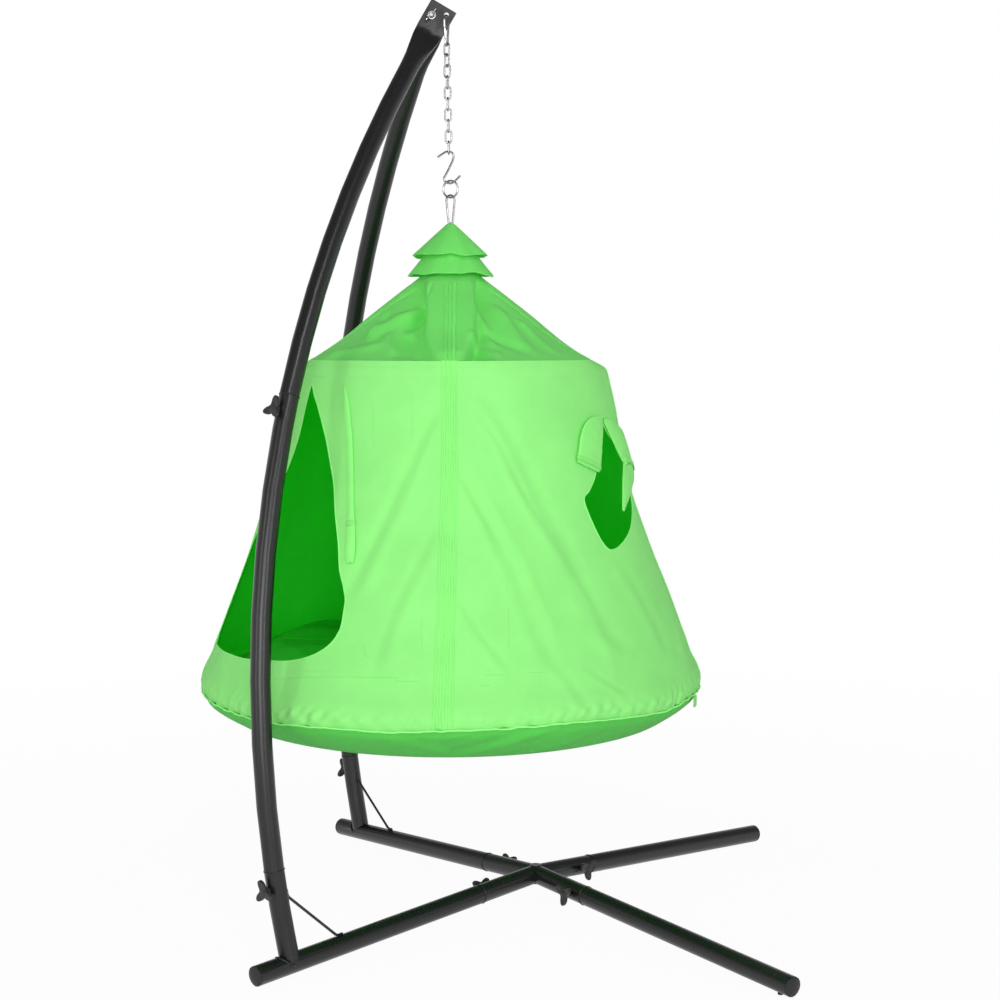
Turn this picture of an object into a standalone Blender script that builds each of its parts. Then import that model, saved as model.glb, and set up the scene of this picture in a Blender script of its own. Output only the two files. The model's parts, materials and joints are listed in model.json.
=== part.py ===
"""Hanging tent on a tube stand.

Metres, +Z up. The plane y = 0 is the stand's plane of symmetry, the two arms lean over from the -X side,
and "front" is the -Y side. The pieces are laid out round the point of the floor under the cross joint,
and at the end everything moves together, so that the origin is on the floor in the middle of the whole
part. Every hanging piece is stored as it hangs at rest.
"""
import math

import bmesh
import bpy
import numpy as np
from mathutils.geometry import tessellate_polygon

# Clearances
PLAY = 0.0003               # between pieces that touch
SEWN = 0.0003               # between layers of cloth

# Tube of the stand
TUBE_R = 0.020
TUBE_WALL = 0.0015
TUBE_SIDES = 16
SPIGOT_LENGTH = 0.070       # what goes into a sleeve

# Cross joint and legs
HUB_Z = 0.070               # height of the cross joint's centre
LEG_LENGTH = 0.7617         # centre to the rim of the end plug
LEG_ANGLE = 47.74           # degrees between a leg and the X axis, in plan
SLEEVE_LENGTH = 0.168       # centre to the end of a sleeve
BORE_START = 0.026          # nearer to the centre the sleeves are closed
HUB_R = 0.012               # core where the four sleeves are welded together
WELD_RISE = 0.0006          # how far the core stands over the sleeves
GLIDE_R = 0.0055
GLIDE_HEIGHT = 0.003        # lifts the end of the front right leg

# End plugs
PLUG_RIM = 0.003
PLUG_DOME = 0.0035
PLUG_DEPTH = 0.018

# Arms: each is a quadratic curve from a leg to the top plates
ARM_FOOT = 0.6760           # along the leg from the centre
ARM_BOW = (-0.6334, 0.5769, 1.0323)
ARM_TOP_X = -0.2254
ARM_TOP_Z = 1.8856
STUB_LENGTH = 0.190         # along the curve, from the leg's axis
LOWER_ARM_LENGTH = 0.929
ARM_STEP = 0.125            # longest straight piece in a bent tube

# Flattened top of the arms
FLAT_LENGTH = 0.105
PLATE_LENGTH = 0.0574
PLATE_WIDTH = 0.060
PLATE_THICKNESS = 0.0032
PLATE_TILT = 30.75          # degrees from upright, towards +X
BOLT_ALONG, BOLT_ACROSS = 0.0277, -0.0127
HOLE_ALONG, HOLE_ACROSS = 0.0440, 0.0137
HOLE_R = 0.0050

# Hand screws
KNOB_INSET = 0.035          # from the end of the sleeve
KNOB_LOBE_R = 0.0255
KNOB_VALLEY_R = 0.0092
KNOB_NECK_R = 0.0080
KNOB_NECK_LENGTH = 0.0062
KNOB_THICKNESS = 0.0085
SCREW_R = 0.0038
SCREW_REACH = 0.0075        # how far the screw goes in past the tube's surface

# Braces, welded to stub and leg
BRACE_R = 0.0030
BRACE_FOOT = 0.014          # bent ends that lie along the tubes
BRACE_SINK = 0.0007         # how deep they lie in the tube's wall
BRACE_ON_ARM = 0.130        # along the arm's curve from the leg's axis
BRACE_ON_LEG = 0.5580       # along the leg from the centre

# Bolt, washers and wing nut of the plates
BOLT_R = 0.0040
BOLT_HEAD_R = 0.0072
BOLT_HEAD_HEIGHT = 0.0050
WASHER_R = 0.0088
WASHER_THICKNESS = 0.0015
NUT_R = 0.0062
NUT_HEIGHT = 0.0085
WING_REACH = 0.0150
WING_HALF_THICKNESS = 0.0013

# Snap hooks, both alike
SNAP_WIRE_R = 0.0025
SNAP_HEIGHT = 0.0630        # between the centre lines of the two bows
SNAP_TOP_R = 0.0115
SNAP_BOTTOM_R = 0.0056
GATE_FROM, GATE_TO = 0.0480, 0.0270     # pivot and tip, below the upper bow
UPPER_SNAP_YAW = 72.0
LOWER_SNAP_YAW = 45.0

# Chain
LINK_COUNT = 10
LINK_WIRE_R = 0.0020
LINK_HALF_WIDTH = 0.0063
LINK_HEIGHT = 0.0268
LINK_HOLD = 0.0008          # how deep neighbours sit in each other, because the chain is one solid
LINK_YAWS = (-32.0, 56.0, -14.0, 82.0, 0.0, 88.0, 2.0, 86.0, 4.0, 90.0)
LINK_SIDES = 6

# S-hook and ring
S_WIRE_R = 0.0025
S_YAW = 24.0
S_TURNS = ((-0.0300, 0.0540), (-0.0215, 0.0600), (-0.0130, 0.0655), (-0.0050, 0.0675), (0.0030, 0.0640),
           (0.0058, 0.0570), (0.0030, 0.0470), (-0.0065, 0.0280), (-0.0165, 0.0105), (-0.0150, 0.0040),
           (-0.0090, 0.0006), (-0.0017, 0.0000), (0.0055, 0.0024), (0.0120, 0.0085), (0.0200, 0.0165))
RING_R = 0.0180             # centre line
RING_WIRE_R = 0.00225
RING_YAW = -24.0

# How far the chain's line moves from the plate's hole down to the S-hook
HANG_DRIFT_X = 0.0046
HANG_DRIFT_Y = -0.0013

# Tent: radii from its axis and heights above its floor
TENT_HEIGHT = 1.0624
CLOTH = 0.0020              # cloth with its lining
SEAM_TURN = 4.7             # degrees from -Y towards +X to the front seam
TENT_SINK = 0.0081          # how deep the lower snap hook dips into the top cap
ROOF_PROFILE = ((0.0140, 0.9935), (0.0700, 0.9435), (0.1050, 0.9170), (0.1730, 0.8640),
                (0.2400, 0.8090), (0.2935, 0.7729))
EAVE_DROP = 0.0025          # from the roof's edge to the top of the wall, which turns over the eave hoop
WALL_PROFILE = ((0.3325, 0.7520), (0.3380, 0.7280), (0.3530, 0.6600), (0.3670, 0.5800), (0.3890, 0.4910),
                (0.4120, 0.4220), (0.4370, 0.3500), (0.4680, 0.2700), (0.4960, 0.1950),
                (0.5160, 0.1420), (0.5330, 0.1130), (0.5376, 0.0960), (0.5362, 0.0745))
BAND_PROFILE = ((0.5270, 0.0570), (0.5109, 0.0430), (0.4870, 0.0262), (0.4600, 0.0095), (0.4300, 0.0000))
TOP_CAP_PROFILE = ((0.0082, 1.0590), (0.0815, 0.9910), (0.0650, 0.9875))
SECOND_CAP_START_R = 0.0300  # its upper edge lies under the top cap
SECOND_CAP_PROFILE = ((0.0636, 0.9852), (0.0930, 0.9500), (0.0725, 0.9442))
TENT_COLUMNS = 8            # cells between two seam tapes on the wall
ROOF_COLUMNS = 6            # cells between two seam tapes on the roof and caps
FOLD_DEPTH = 0.0030
FOLDS_PER_PANEL = 2

# Seam tapes, piping and hoops
TAPE_THICKNESS = 0.0012
WALL_TAPE_WIDTH = 0.035
ROOF_TAPE_WIDTH = 0.026
TAPE_INSIDE_R = 0.055       # nearer to the axis the seam keeps its angle
PIPING_R = 0.0020
EAVE_HOOP_R = 0.0050
EAVE_HOOP_BELOW = 0.0100    # below the eave's corner
BASE_HOOP_R = 0.0080
BASE_HOOP_HEIGHT = 0.0900

# Floor cushion
CUSHION_PROFILE = ((0.4200, 0.0000), (0.4500, 0.0110), (0.4760, 0.0480), (0.4840, 0.0880),
                   (0.4680, 0.1180), (0.4150, 0.1370), (0.2600, 0.1500), (0.1200, 0.1555), (0.0200, 0.1570))
CUSHION_COLUMNS = 32
CUSHION_CHANNELS = 8
CHANNEL_DEPTH = 0.0060

# Openings in the wall: degrees round the axis from -Y towards +X, height above the floor
DOOR = ((-52.0, 0.720), (-45.1, 0.676), (-39.9, 0.625), (-35.9, 0.566), (-33.3, 0.527), (-31.4, 0.483),
        (-27.6, 0.416), (-26.2, 0.366), (-22.6, 0.300), (-22.5, 0.258), (-23.8, 0.232), (-26.4, 0.207),
        (-30.6, 0.196), (-35.8, 0.186), (-41.3, 0.181), (-49.7, 0.174), (-60.0, 0.172), (-72.0, 0.172),
        (-78.6, 0.180), (-81.8, 0.215), (-82.2, 0.290), (-79.0, 0.355), (-69.5, 0.455), (-60.5, 0.550),
        (-53.6, 0.640))
WINDOW = ((66.5, 0.652), (62.0, 0.618), (57.5, 0.580), (53.2, 0.540), (48.5, 0.496), (51.2, 0.459),
          (54.2, 0.404), (57.2, 0.397), (61.3, 0.402), (68.1, 0.426), (74.3, 0.448), (78.7, 0.472),
          (80.0, 0.500), (78.5, 0.530), (75.0, 0.570), (71.0, 0.612))

# Rolled flaps: angle, height, half width and half depth of the roll
DOOR_ROLL = ((-33.6, 0.742, 0.010, 0.005), (-32.0, 0.726, 0.018, 0.008), (-31.0, 0.690, 0.021, 0.009),
             (-29.6, 0.630, 0.021, 0.009), (-27.8, 0.560, 0.020, 0.009), (-25.6, 0.480, 0.0185, 0.009),
             (-24.0, 0.430, 0.0165, 0.008), (-23.2, 0.400, 0.0180, 0.008), (-22.8, 0.378, 0.0120, 0.005))
LEFT_ROLL = ((62.6, 0.667, 0.010, 0.004), (60.6, 0.656, 0.019, 0.007), (58.4, 0.636, 0.024, 0.010),
             (56.0, 0.606, 0.025, 0.011), (53.6, 0.576, 0.022, 0.010), (51.4, 0.552, 0.016, 0.006))
RIGHT_ROLL = ((68.2, 0.660, 0.009, 0.004), (71.8, 0.646, 0.014, 0.007), (76.4, 0.614, 0.017, 0.009),
              (80.6, 0.580, 0.017, 0.010), (84.2, 0.548, 0.015, 0.008), (86.4, 0.526, 0.009, 0.004))
ROLL_SIDES = 8
ROLL_LIFT = 0.0007          # over the wall, for the edges between its flat cells
TIE_WIDTH = 0.012
TIE_THICKNESS = 0.0012
TIE_PLAY = 0.0007           # between a roll and its tie
TIES = (("door_tie", DOOR_ROLL, 5.9), ("window_tie_left", LEFT_ROLL, 3.0), ("window_tie_right", RIGHT_ROLL, 3.2))

# Strap tab at the base seam
TAB_ANGLE = 76.0
TAB_WIDTH = 0.026
TAB_LENGTH = 0.022
TAB_THICKNESS = 0.0020

# Webbing strap in the top of the tent
STRAP_HALF_WIDTH = 0.0024
STRAP_HALF_THICKNESS = 0.0011
STRAP_SEWN_TO = 0.050       # radius where its sewn legs end


# Vectors and curves

def vec(*values):
    """Numbers as an array."""
    return np.array(values, dtype=float)


def unit(vector):
    """The same direction, of length 1."""
    return vector / np.linalg.norm(vector)


def turn(yaw):
    """Horizontal direction at an angle in degrees from +X."""
    return vec(math.cos(math.radians(yaw)), math.sin(math.radians(yaw)), 0.0)


class Path:
    """A curve measured along its length, from dense points."""

    def __init__(self, points):
        self.points = np.array(points, dtype=float)
        steps = np.linalg.norm(np.diff(self.points, axis=0), axis=1)
        self.distance = np.concatenate([[0.0], np.cumsum(steps)])
        self.length = self.distance[-1]

    def at(self, s):
        """Point at the distance s. Past the ends the curve runs on straight."""
        if s < 0.0:
            return self.points[0] + s * self.along(0.0)
        if s > self.length:
            return self.points[-1] + (s - self.length) * self.along(self.length)
        return vec(*[np.interp(s, self.distance, self.points[:, k]) for k in range(3)])

    def along(self, s):
        """Direction of travel at the distance s."""
        k = int(np.clip(np.searchsorted(self.distance, s), 1, len(self.points) - 1))
        low = max(k - 2, 0)
        high = min(k + 1, len(self.points) - 1)
        return unit(self.points[high] - self.points[low])


def leg_path(side_x, side_y):
    """Axis of a leg, from the centre of the cross joint to the rim of its end plug."""
    lift = GLIDE_HEIGHT if (side_x, side_y) == (1, -1) else 0.0
    drop = HUB_Z - TUBE_R - lift
    reach = math.sqrt(LEG_LENGTH ** 2 - drop ** 2)
    angle = math.radians(LEG_ANGLE)
    end = vec(side_x * reach * math.cos(angle), side_y * reach * math.sin(angle), TUBE_R + lift)
    return Path([vec(0.0, 0.0, HUB_Z), end])


def arm_path(side_y):
    """Axis of an arm, from the axis of its leg to the bend under its plate."""
    foot = leg_path(-1, side_y).at(ARM_FOOT)
    bow = vec(ARM_BOW[0], side_y * ARM_BOW[1], ARM_BOW[2])
    top = vec(ARM_TOP_X, side_y * (PLATE_THICKNESS + PLAY) / 2, ARM_TOP_Z)
    t = np.linspace(0.0, 1.0, 201)[:, None]
    return Path((1 - t) ** 2 * foot + 2 * t * (1 - t) * bow + t ** 2 * top)


def plate_frame():
    """Directions along and across the plates, in the plane y = 0."""
    tilt = math.radians(PLATE_TILT)
    return vec(math.sin(tilt), 0.0, math.cos(tilt)), vec(math.cos(tilt), 0.0, -math.sin(tilt))


def plate_point(along, across):
    """A point of the plates, at y = 0."""
    up, out = plate_frame()
    return vec(ARM_TOP_X, 0.0, ARM_TOP_Z) + along * up + across * out


HOLE = plate_point(HOLE_ALONG, HOLE_ACROSS)


# Building closed meshes

MATERIALS = {
    "frame_black": ((0.030, 0.030, 0.032), 0.35, 0.0),
    "plug_black": ((0.020, 0.020, 0.021), 0.55, 0.0),
    "knob_black": ((0.018, 0.018, 0.019), 0.45, 0.0),
    "zinc": ((0.72, 0.73, 0.74), 0.28, 1.0),
    "cloth_green": ((0.27, 0.83, 0.20), 0.75, 0.0),
    "roof_green": ((0.22, 0.74, 0.17), 0.75, 0.0),
    "base_green": ((0.20, 0.68, 0.16), 0.75, 0.0),
    "tape_green": ((0.29, 0.85, 0.22), 0.70, 0.0),
    "cushion_green": ((0.10, 0.50, 0.08), 0.80, 0.0),
    "webbing_green": ((0.16, 0.55, 0.12), 0.80, 0.0),
}


def make_material(object_name, slot):
    """A material of its own for one object."""
    colour, roughness, metallic = MATERIALS[slot]
    material = bpy.data.materials.new(slot + "_" + object_name)
    material.use_nodes = True
    shader = material.node_tree.nodes["Principled BSDF"]
    shader.inputs["Base Color"].default_value = (*colour, 1.0)
    shader.inputs["Roughness"].default_value = roughness
    shader.inputs["Metallic"].default_value = metallic
    return material


def finish_mesh(mesh):
    """Face the surface outwards and shade it smooth between its sharp edges."""
    work = bmesh.new()
    work.from_mesh(mesh)
    bmesh.ops.recalc_face_normals(work, faces=work.faces)
    work.to_mesh(mesh)
    work.free()
    mesh.shade_smooth()
    mesh.set_sharp_from_angle(angle=math.radians(38))
    mesh.update()


def add_object(name, points, faces, slot):
    """One named object from points and faces."""
    mesh = bpy.data.meshes.new(name)
    mesh.from_pydata([tuple(p) for p in points], [], faces)
    finish_mesh(mesh)
    part = bpy.data.objects.new(name, mesh)
    bpy.context.scene.collection.objects.link(part)
    if slot:
        part.data.materials.append(make_material(name, slot))
    return part


def skin_faces(ring_count, size, loop, first=0):
    """Faces that join rings of equal size, one after the other."""
    faces = []
    for k in range(ring_count if loop else ring_count - 1):
        here = first + k * size
        there = first + ((k + 1) % ring_count) * size
        for j in range(size):
            n = (j + 1) % size
            faces.append((here + j, here + n, there + n, there + j))
    if not loop:
        last = first + (ring_count - 1) * size
        faces.append(tuple(range(first, first + size)))
        faces.append(tuple(range(last, last + size)))
    return faces


def skin(name, rings, slot, loop=False):
    """A solid through rings of points. A loop joins the last ring to the first."""
    points = [p for ring in rings for p in ring]
    return add_object(name, points, skin_faces(len(rings), len(rings[0]), loop), slot)


def sheet(name, outer, inner, slot):
    """A thin closed solid between two equal grids of points."""
    rows, columns = len(outer), len(outer[0])
    points = [p for row in outer for p in row] + [p for row in inner for p in row]
    back = rows * columns
    faces = []
    for i in range(rows - 1):
        for j in range(columns - 1):
            a = i * columns + j
            faces.append((a, a + 1, a + columns + 1, a + columns))
            faces.append(tuple(back + n for n in (a, a + columns, a + columns + 1, a + 1)))
    rim = [j for j in range(columns)] + [i * columns + columns - 1 for i in range(1, rows)]
    rim += [(rows - 1) * columns + j for j in range(columns - 2, -1, -1)]
    rim += [i * columns for i in range(rows - 2, 0, -1)]
    for a, b in zip(rim, rim[1:] + rim[:1]):
        faces.append((b, a, back + a, back + b))
    return add_object(name, points, faces, slot)


def remove_part(part):
    """Delete a helper object and what only it used."""
    mesh = part.data
    slots = [m for m in mesh.materials if m]
    bpy.data.objects.remove(part)
    bpy.data.meshes.remove(mesh)
    for material in slots:
        bpy.data.materials.remove(material)


def combine(part, tool, operation):
    """Join or cut a solid with a helper solid, which is used up."""
    modifier = part.modifiers.new("combine", "BOOLEAN")
    modifier.operation = operation
    modifier.solver = "EXACT"
    modifier.object = tool
    bpy.context.view_layer.update()
    graph = bpy.context.evaluated_depsgraph_get()
    result = bpy.data.meshes.new_from_object(part.evaluated_get(graph))
    part.modifiers.clear()
    old = part.data
    part.data = result
    bpy.data.meshes.remove(old)
    result.name = part.name
    remove_part(tool)
    finish_mesh(result)


def frame_at(tangent, towards):
    """Two directions square to the tangent, the first one nearest to the direction given."""
    first = unit(towards - np.dot(towards, tangent) * tangent)
    return first, np.cross(tangent, first)


def round_ring(centre, tangent, towards, radius, sides):
    """Points of a circle square to the tangent."""
    first, second = frame_at(tangent, towards)
    angles = np.arange(sides) * 2 * math.pi / sides
    return [centre + radius * (math.cos(a) * first + math.sin(a) * second) for a in angles]


def split_outline(outline, step):
    """Add points to the long runs of an outline, so that it can follow a bend."""
    result = []
    for (s0, r0), (s1, r1) in zip(outline, outline[1:] + outline[:1]):
        count = max(1, math.ceil(abs(s1 - s0) / step))
        for k in range(count):
            share = k / count
            result.append((s0 + share * (s1 - s0), r0 + share * (r1 - r0)))
    return result


def pipe(name, path, outline, towards, slot, step=10.0, sides=TUBE_SIDES):
    """A hollow solid of round section along a path. The outline runs out on the outside and back in the bore."""
    rings = [round_ring(path.at(s), path.along(s), towards, r, sides) for s, r in split_outline(outline, step)]
    return skin(name, rings, slot, loop=True)


def rod(name, start, end, radius, slot=None, sides=12):
    """A plain round rod."""
    tangent = unit(end - start)
    towards = vec(0.0, 0.0, 1.0) if abs(tangent[2]) < 0.9 else vec(1.0, 0.0, 0.0)
    rings = [round_ring(p, tangent, towards, radius, sides) for p in (start, end)]
    return skin(name, rings, slot)


def stepped_rod(name, origin, axis, steps, slot, sides=12):
    """A turned solid. Steps are distances along the axis and radii."""
    towards = vec(0.0, 0.0, 1.0) if abs(axis[2]) < 0.9 else vec(1.0, 0.0, 0.0)
    rings = [round_ring(origin + a * axis, axis, towards, r, sides) for a, r in steps]
    return skin(name, rings, slot)


def wire(name, points, normal, radius, slot, sides=6, loop=False):
    """A wire bent in one plane through the points."""
    points = np.array(points)
    count = len(points)
    rings = []
    for k in range(count):
        before = points[k - 1] if loop or k > 0 else points[k]
        after = points[(k + 1) % count] if loop or k < count - 1 else points[k]
        rings.append(round_ring(points[k], unit(after - before), normal, radius, sides))
    return skin(name, rings, slot, loop=loop)


# Stand

def sleeve_hole(path, s, direction):
    """Helper that drills one wall of a tube."""
    centre = path.at(s)
    return rod("screw_hole", centre + 0.010 * direction, centre + 0.030 * direction, SCREW_R + 2 * PLAY, sides=8)


def leg_screw_side(path):
    """Side of a leg on which its hand screw sits: clockwise from the leg, seen from above."""
    along = path.along(0.0)
    return unit(vec(along[1], -along[0], 0.0))


def arm_outside(path, s):
    """Direction square to an arm, in the plane of its bend, away from the tent."""
    foot, middle, top = path.points[0], path.points[100], path.points[-1]
    bulge = middle - (foot + top) / 2
    tangent = path.along(s)
    return unit(bulge - np.dot(bulge, tangent) * tangent)


def spigot_outline(joint, end):
    """Outline of a tube with a spigot at its start and room for the next spigot at its end."""
    spigot_r = TUBE_R - TUBE_WALL - PLAY
    bore_r = TUBE_R - TUBE_WALL
    return [(joint - SPIGOT_LENGTH, spigot_r), (joint + PLAY, spigot_r), (joint + PLAY, TUBE_R),
            (end - SPIGOT_LENGTH, TUBE_R), (end, TUBE_R), (end, bore_r), (end - SPIGOT_LENGTH, bore_r),
            (joint + 0.006, bore_r), (joint + 0.003, spigot_r - TUBE_WALL),
            (joint - SPIGOT_LENGTH, spigot_r - TUBE_WALL)]


def build_cross_joint():
    """Four sleeves welded to a core at the centre, bored from their ends."""
    up = vec(0.0, 0.0, 1.0)
    sides = [(-1, -1), (-1, 1), (1, -1), (1, 1)]
    half = (TUBE_R + WELD_RISE) * up
    centre = vec(0.0, 0.0, HUB_Z)
    body = rod("cross_joint", centre - half, centre + half, HUB_R, "frame_black", sides=20)
    for side_x, side_y in sides:
        path = leg_path(side_x, side_y)
        rings = [round_ring(path.at(s), path.along(s), up, TUBE_R, TUBE_SIDES) for s in (0.0, SLEEVE_LENGTH)]
        combine(body, skin("sleeve", rings, None), "UNION")
    for side_x, side_y in sides:
        path = leg_path(side_x, side_y)
        ends = (BORE_START, SLEEVE_LENGTH + 0.010)
        rings = [round_ring(path.at(s), path.along(s), up, TUBE_R - TUBE_WALL, TUBE_SIDES) for s in ends]
        combine(body, skin("bore", rings, None), "DIFFERENCE")
        hole = sleeve_hole(path, SLEEVE_LENGTH - KNOB_INSET, leg_screw_side(path))
        combine(body, hole, "DIFFERENCE")
    return body


def build_leg(name, side_x, side_y):
    """A leg with its spigot. A left leg carries a welded stub."""
    path = leg_path(side_x, side_y)
    up = vec(0.0, 0.0, 1.0)
    end = LEG_LENGTH - PLUG_RIM - PLAY
    leg = pipe(name, path, spigot_outline(SLEEVE_LENGTH, end), up, "frame_black")
    if side_x < 0:
        arm = arm_path(side_y)
        bore_r = TUBE_R - TUBE_WALL
        seat = STUB_LENGTH - SPIGOT_LENGTH
        outline = [(0.0, TUBE_R), (seat, TUBE_R), (STUB_LENGTH, TUBE_R), (STUB_LENGTH, bore_r), (seat, bore_r),
                   (0.0, bore_r)]
        stub = pipe("stub", arm, outline, plate_frame()[1], None)
        mouth = rod("mouth", path.at(ARM_FOOT - 0.08), path.at(ARM_FOOT + 0.08), TUBE_R - 0.0006, sides=TUBE_SIDES)
        combine(stub, mouth, "DIFFERENCE")
        combine(leg, stub, "UNION")
        s = STUB_LENGTH - KNOB_INSET
        combine(leg, sleeve_hole(arm, s, arm_outside(arm, s)), "DIFFERENCE")
        combine(leg, brace_rod(side_y), "UNION")
    s = SLEEVE_LENGTH - KNOB_INSET
    combine(leg, sleeve_hole(path, s, leg_screw_side(path)), "DIFFERENCE")
    if (side_x, side_y) == (1, -1):
        centre = path.at(glide_place())
        drill = rod("glide_hole", centre - 0.030 * up, centre - 0.010 * up, 0.0020 + PLAY, sides=8)
        combine(leg, drill, "DIFFERENCE")
    return leg


def build_end_plug(name, side_x, side_y):
    """Plug in the open end of a leg, with a rim and a low dome."""
    path = leg_path(side_x, side_y)
    inside = TUBE_R - TUBE_WALL - PLAY
    rim = LEG_LENGTH - PLUG_RIM
    steps = [(rim - PLUG_DEPTH, inside), (rim, inside), (rim, TUBE_R), (LEG_LENGTH, TUBE_R),
             (LEG_LENGTH + 0.6 * PLUG_DOME, 0.70 * TUBE_R), (LEG_LENGTH + PLUG_DOME, 0.30 * TUBE_R)]
    return stepped_rod(name, path.at(0.0), path.along(0.0), steps, "plug_black", sides=TUBE_SIDES)


def glide_place():
    """Distance along the front right leg at which its glide sits."""
    return LEG_LENGTH - PLUG_RIM - PLUG_DEPTH - 2 * GLIDE_R


def build_glide():
    """Small glide under the front right leg, with its stem in the tube."""
    path = leg_path(1, -1)
    centre = path.at(glide_place())
    low_side = centre[2] - TUBE_R
    floor_point = vec(centre[0], centre[1], 0.0)
    steps = [(0.0, GLIDE_R - 0.0006), (0.0006, GLIDE_R), (low_side - PLAY - 0.0008, GLIDE_R),
             (low_side - PLAY - 0.0008, 0.0020), (low_side + TUBE_WALL + 0.002, 0.0020)]
    return stepped_rod("foot_glide", floor_point, vec(0.0, 0.0, 1.0), steps, "plug_black")


def build_lower_arm(name, side_y):
    """Lower arm: spigot in the stub, sleeve at its upper end."""
    path = arm_path(side_y)
    joint = STUB_LENGTH
    end = STUB_LENGTH + LOWER_ARM_LENGTH
    arm = pipe(name, path, spigot_outline(joint, end), plate_frame()[1], "frame_black", step=ARM_STEP)
    for s in (joint - KNOB_INSET, end - KNOB_INSET):
        combine(arm, sleeve_hole(path, s, arm_outside(path, s)), "DIFFERENCE")
    return arm


def flat_ring(centre, along, across, share, half_thickness):
    """Section of the arm's top: a circle at share 0, a flat plate at share 1."""
    second = np.cross(along, across)
    points = []
    for k in range(TUBE_SIDES):
        angle = 2 * math.pi * k / TUBE_SIDES
        wide = np.clip(math.cos(angle) / math.cos(2 * math.pi / TUBE_SIDES), -1.0, 1.0)
        deep = np.clip(math.sin(angle) / math.sin(2 * math.pi / TUBE_SIDES), -1.0, 1.0)
        x = (1 - share) * TUBE_R * math.cos(angle) + share * PLATE_WIDTH / 2 * wide
        y = (1 - share) * TUBE_R * math.sin(angle) + share * half_thickness * deep
        points.append(centre + x * across + y * second)
    return points


def build_upper_arm(name, side_y):
    """Upper arm: spigot in the lower arm, upper end flattened and bent into an upright plate."""
    path = arm_path(side_y)
    up, out = plate_frame()
    joint = STUB_LENGTH + LOWER_ARM_LENGTH
    flat_from = path.length - FLAT_LENGTH
    spigot_r = TUBE_R - TUBE_WALL - PLAY
    half = PLATE_THICKNESS / 2

    def ring(s, r):
        along = path.along(s)
        across, _ = frame_at(along, out)
        return round_ring(path.at(s), along, across, r, TUBE_SIDES)

    count = math.ceil((flat_from - joint) / ARM_STEP)
    full = [joint + PLAY + (flat_from - joint - PLAY) * k / count for k in range(count + 1)]
    rings = [ring(s, TUBE_R - TUBE_WALL) for s in reversed(full[1:])]
    rings[0] = ring(flat_from - 0.004, TUBE_R - TUBE_WALL)
    bore_start = [ring(joint + 0.006, TUBE_R - TUBE_WALL), ring(joint + 0.003, spigot_r - TUBE_WALL)]
    rings += bore_start + [ring(joint - SPIGOT_LENGTH, spigot_r - TUBE_WALL)]
    rings += [ring(joint - SPIGOT_LENGTH, spigot_r), ring(joint + PLAY, spigot_r)]
    rings += [ring(s, TUBE_R) for s in full]
    for share_along in (0.25, 0.5, 0.75):
        s = flat_from + FLAT_LENGTH * share_along
        along = path.along(s)
        across, _ = frame_at(along, out)
        share = share_along * share_along * (3 - 2 * share_along)
        rings.append(flat_ring(path.at(s), along, across, share, half))
    top = path.at(path.length)
    for distance in (0.0, PLATE_LENGTH):
        rings.append(flat_ring(top + distance * up, up, out, 1.0, half))
    arm = skin(name, rings, "frame_black")
    s = joint - KNOB_INSET
    combine(arm, sleeve_hole(path, s, arm_outside(path, s)), "DIFFERENCE")
    for centre, radius in ((plate_point(BOLT_ALONG, BOLT_ACROSS), BOLT_R + PLAY), (HOLE, HOLE_R)):
        drill = rod("plate_hole", centre - vec(0, 0.02, 0), centre + vec(0, 0.02, 0), radius, sides=12)
        combine(arm, drill, "DIFFERENCE")
    return arm


def build_knob(name, centre, outward, first_lobe):
    """Hand screw with three lobes. Its screw goes through the sleeve into the spigot."""
    first, second = frame_at(outward, first_lobe)
    body = TUBE_R + PLAY + KNOB_NECK_LENGTH
    lobe_angles = (-15.0, 0.0, 15.0, 44.0, 76.0)
    lobe_radii = (0.975, 1.0, 0.975, KNOB_VALLEY_R / KNOB_LOBE_R, KNOB_VALLEY_R / KNOB_LOBE_R)
    steps = [(TUBE_R - SCREW_REACH, SCREW_R, 0.0), (TUBE_R + PLAY, SCREW_R, 0.0), (TUBE_R + PLAY, KNOB_NECK_R, 0.0),
             (body, KNOB_NECK_R + 0.0010, 0.0), (body, KNOB_LOBE_R - 0.0010, 1.0),
             (body + KNOB_THICKNESS - 0.0015, KNOB_LOBE_R, 1.0), (body + KNOB_THICKNESS, KNOB_LOBE_R - 0.0020, 1.0)]
    rings = []
    for distance, radius, lobed in steps:
        ring = []
        for third in range(3):
            for angle, share in zip(lobe_angles, lobe_radii):
                r = radius * ((1 - lobed) + lobed * share)
                lean = 0.0035 * lobed * (r / KNOB_LOBE_R) ** 2
                a = math.radians(angle + 120.0 * third)
                ring.append(centre + (distance + lean) * outward + r * (math.cos(a) * first + math.sin(a) * second))
        rings.append(ring)
    return skin(name, rings, "knob_black")


def knob_places():
    """Name, axis point, outward direction and first lobe of each hand screw."""
    places = []
    down = vec(0.0, 0.0, -1.0)
    names = {(-1, -1): "front_left", (-1, 1): "back_left", (1, -1): "front_right", (1, 1): "back_right"}
    for (side_x, side_y), label in names.items():
        path = leg_path(side_x, side_y)
        s = SLEEVE_LENGTH - KNOB_INSET
        places.append(("knob_leg_" + label, path.at(s), leg_screw_side(path), down))
    for side_y, label in ((-1, "front"), (1, "back")):
        path = arm_path(side_y)
        for level, joint in (("low", STUB_LENGTH), ("high", STUB_LENGTH + LOWER_ARM_LENGTH)):
            s = joint - KNOB_INSET
            outward = arm_outside(path, s)
            lobe = vec(-0.55, 0.0, -0.6) if level == "high" else vec(0.35, 0.0, -0.6)
            places.append(("knob_arm_" + label + "_" + level, path.at(s), outward, lobe))
    return places


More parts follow.
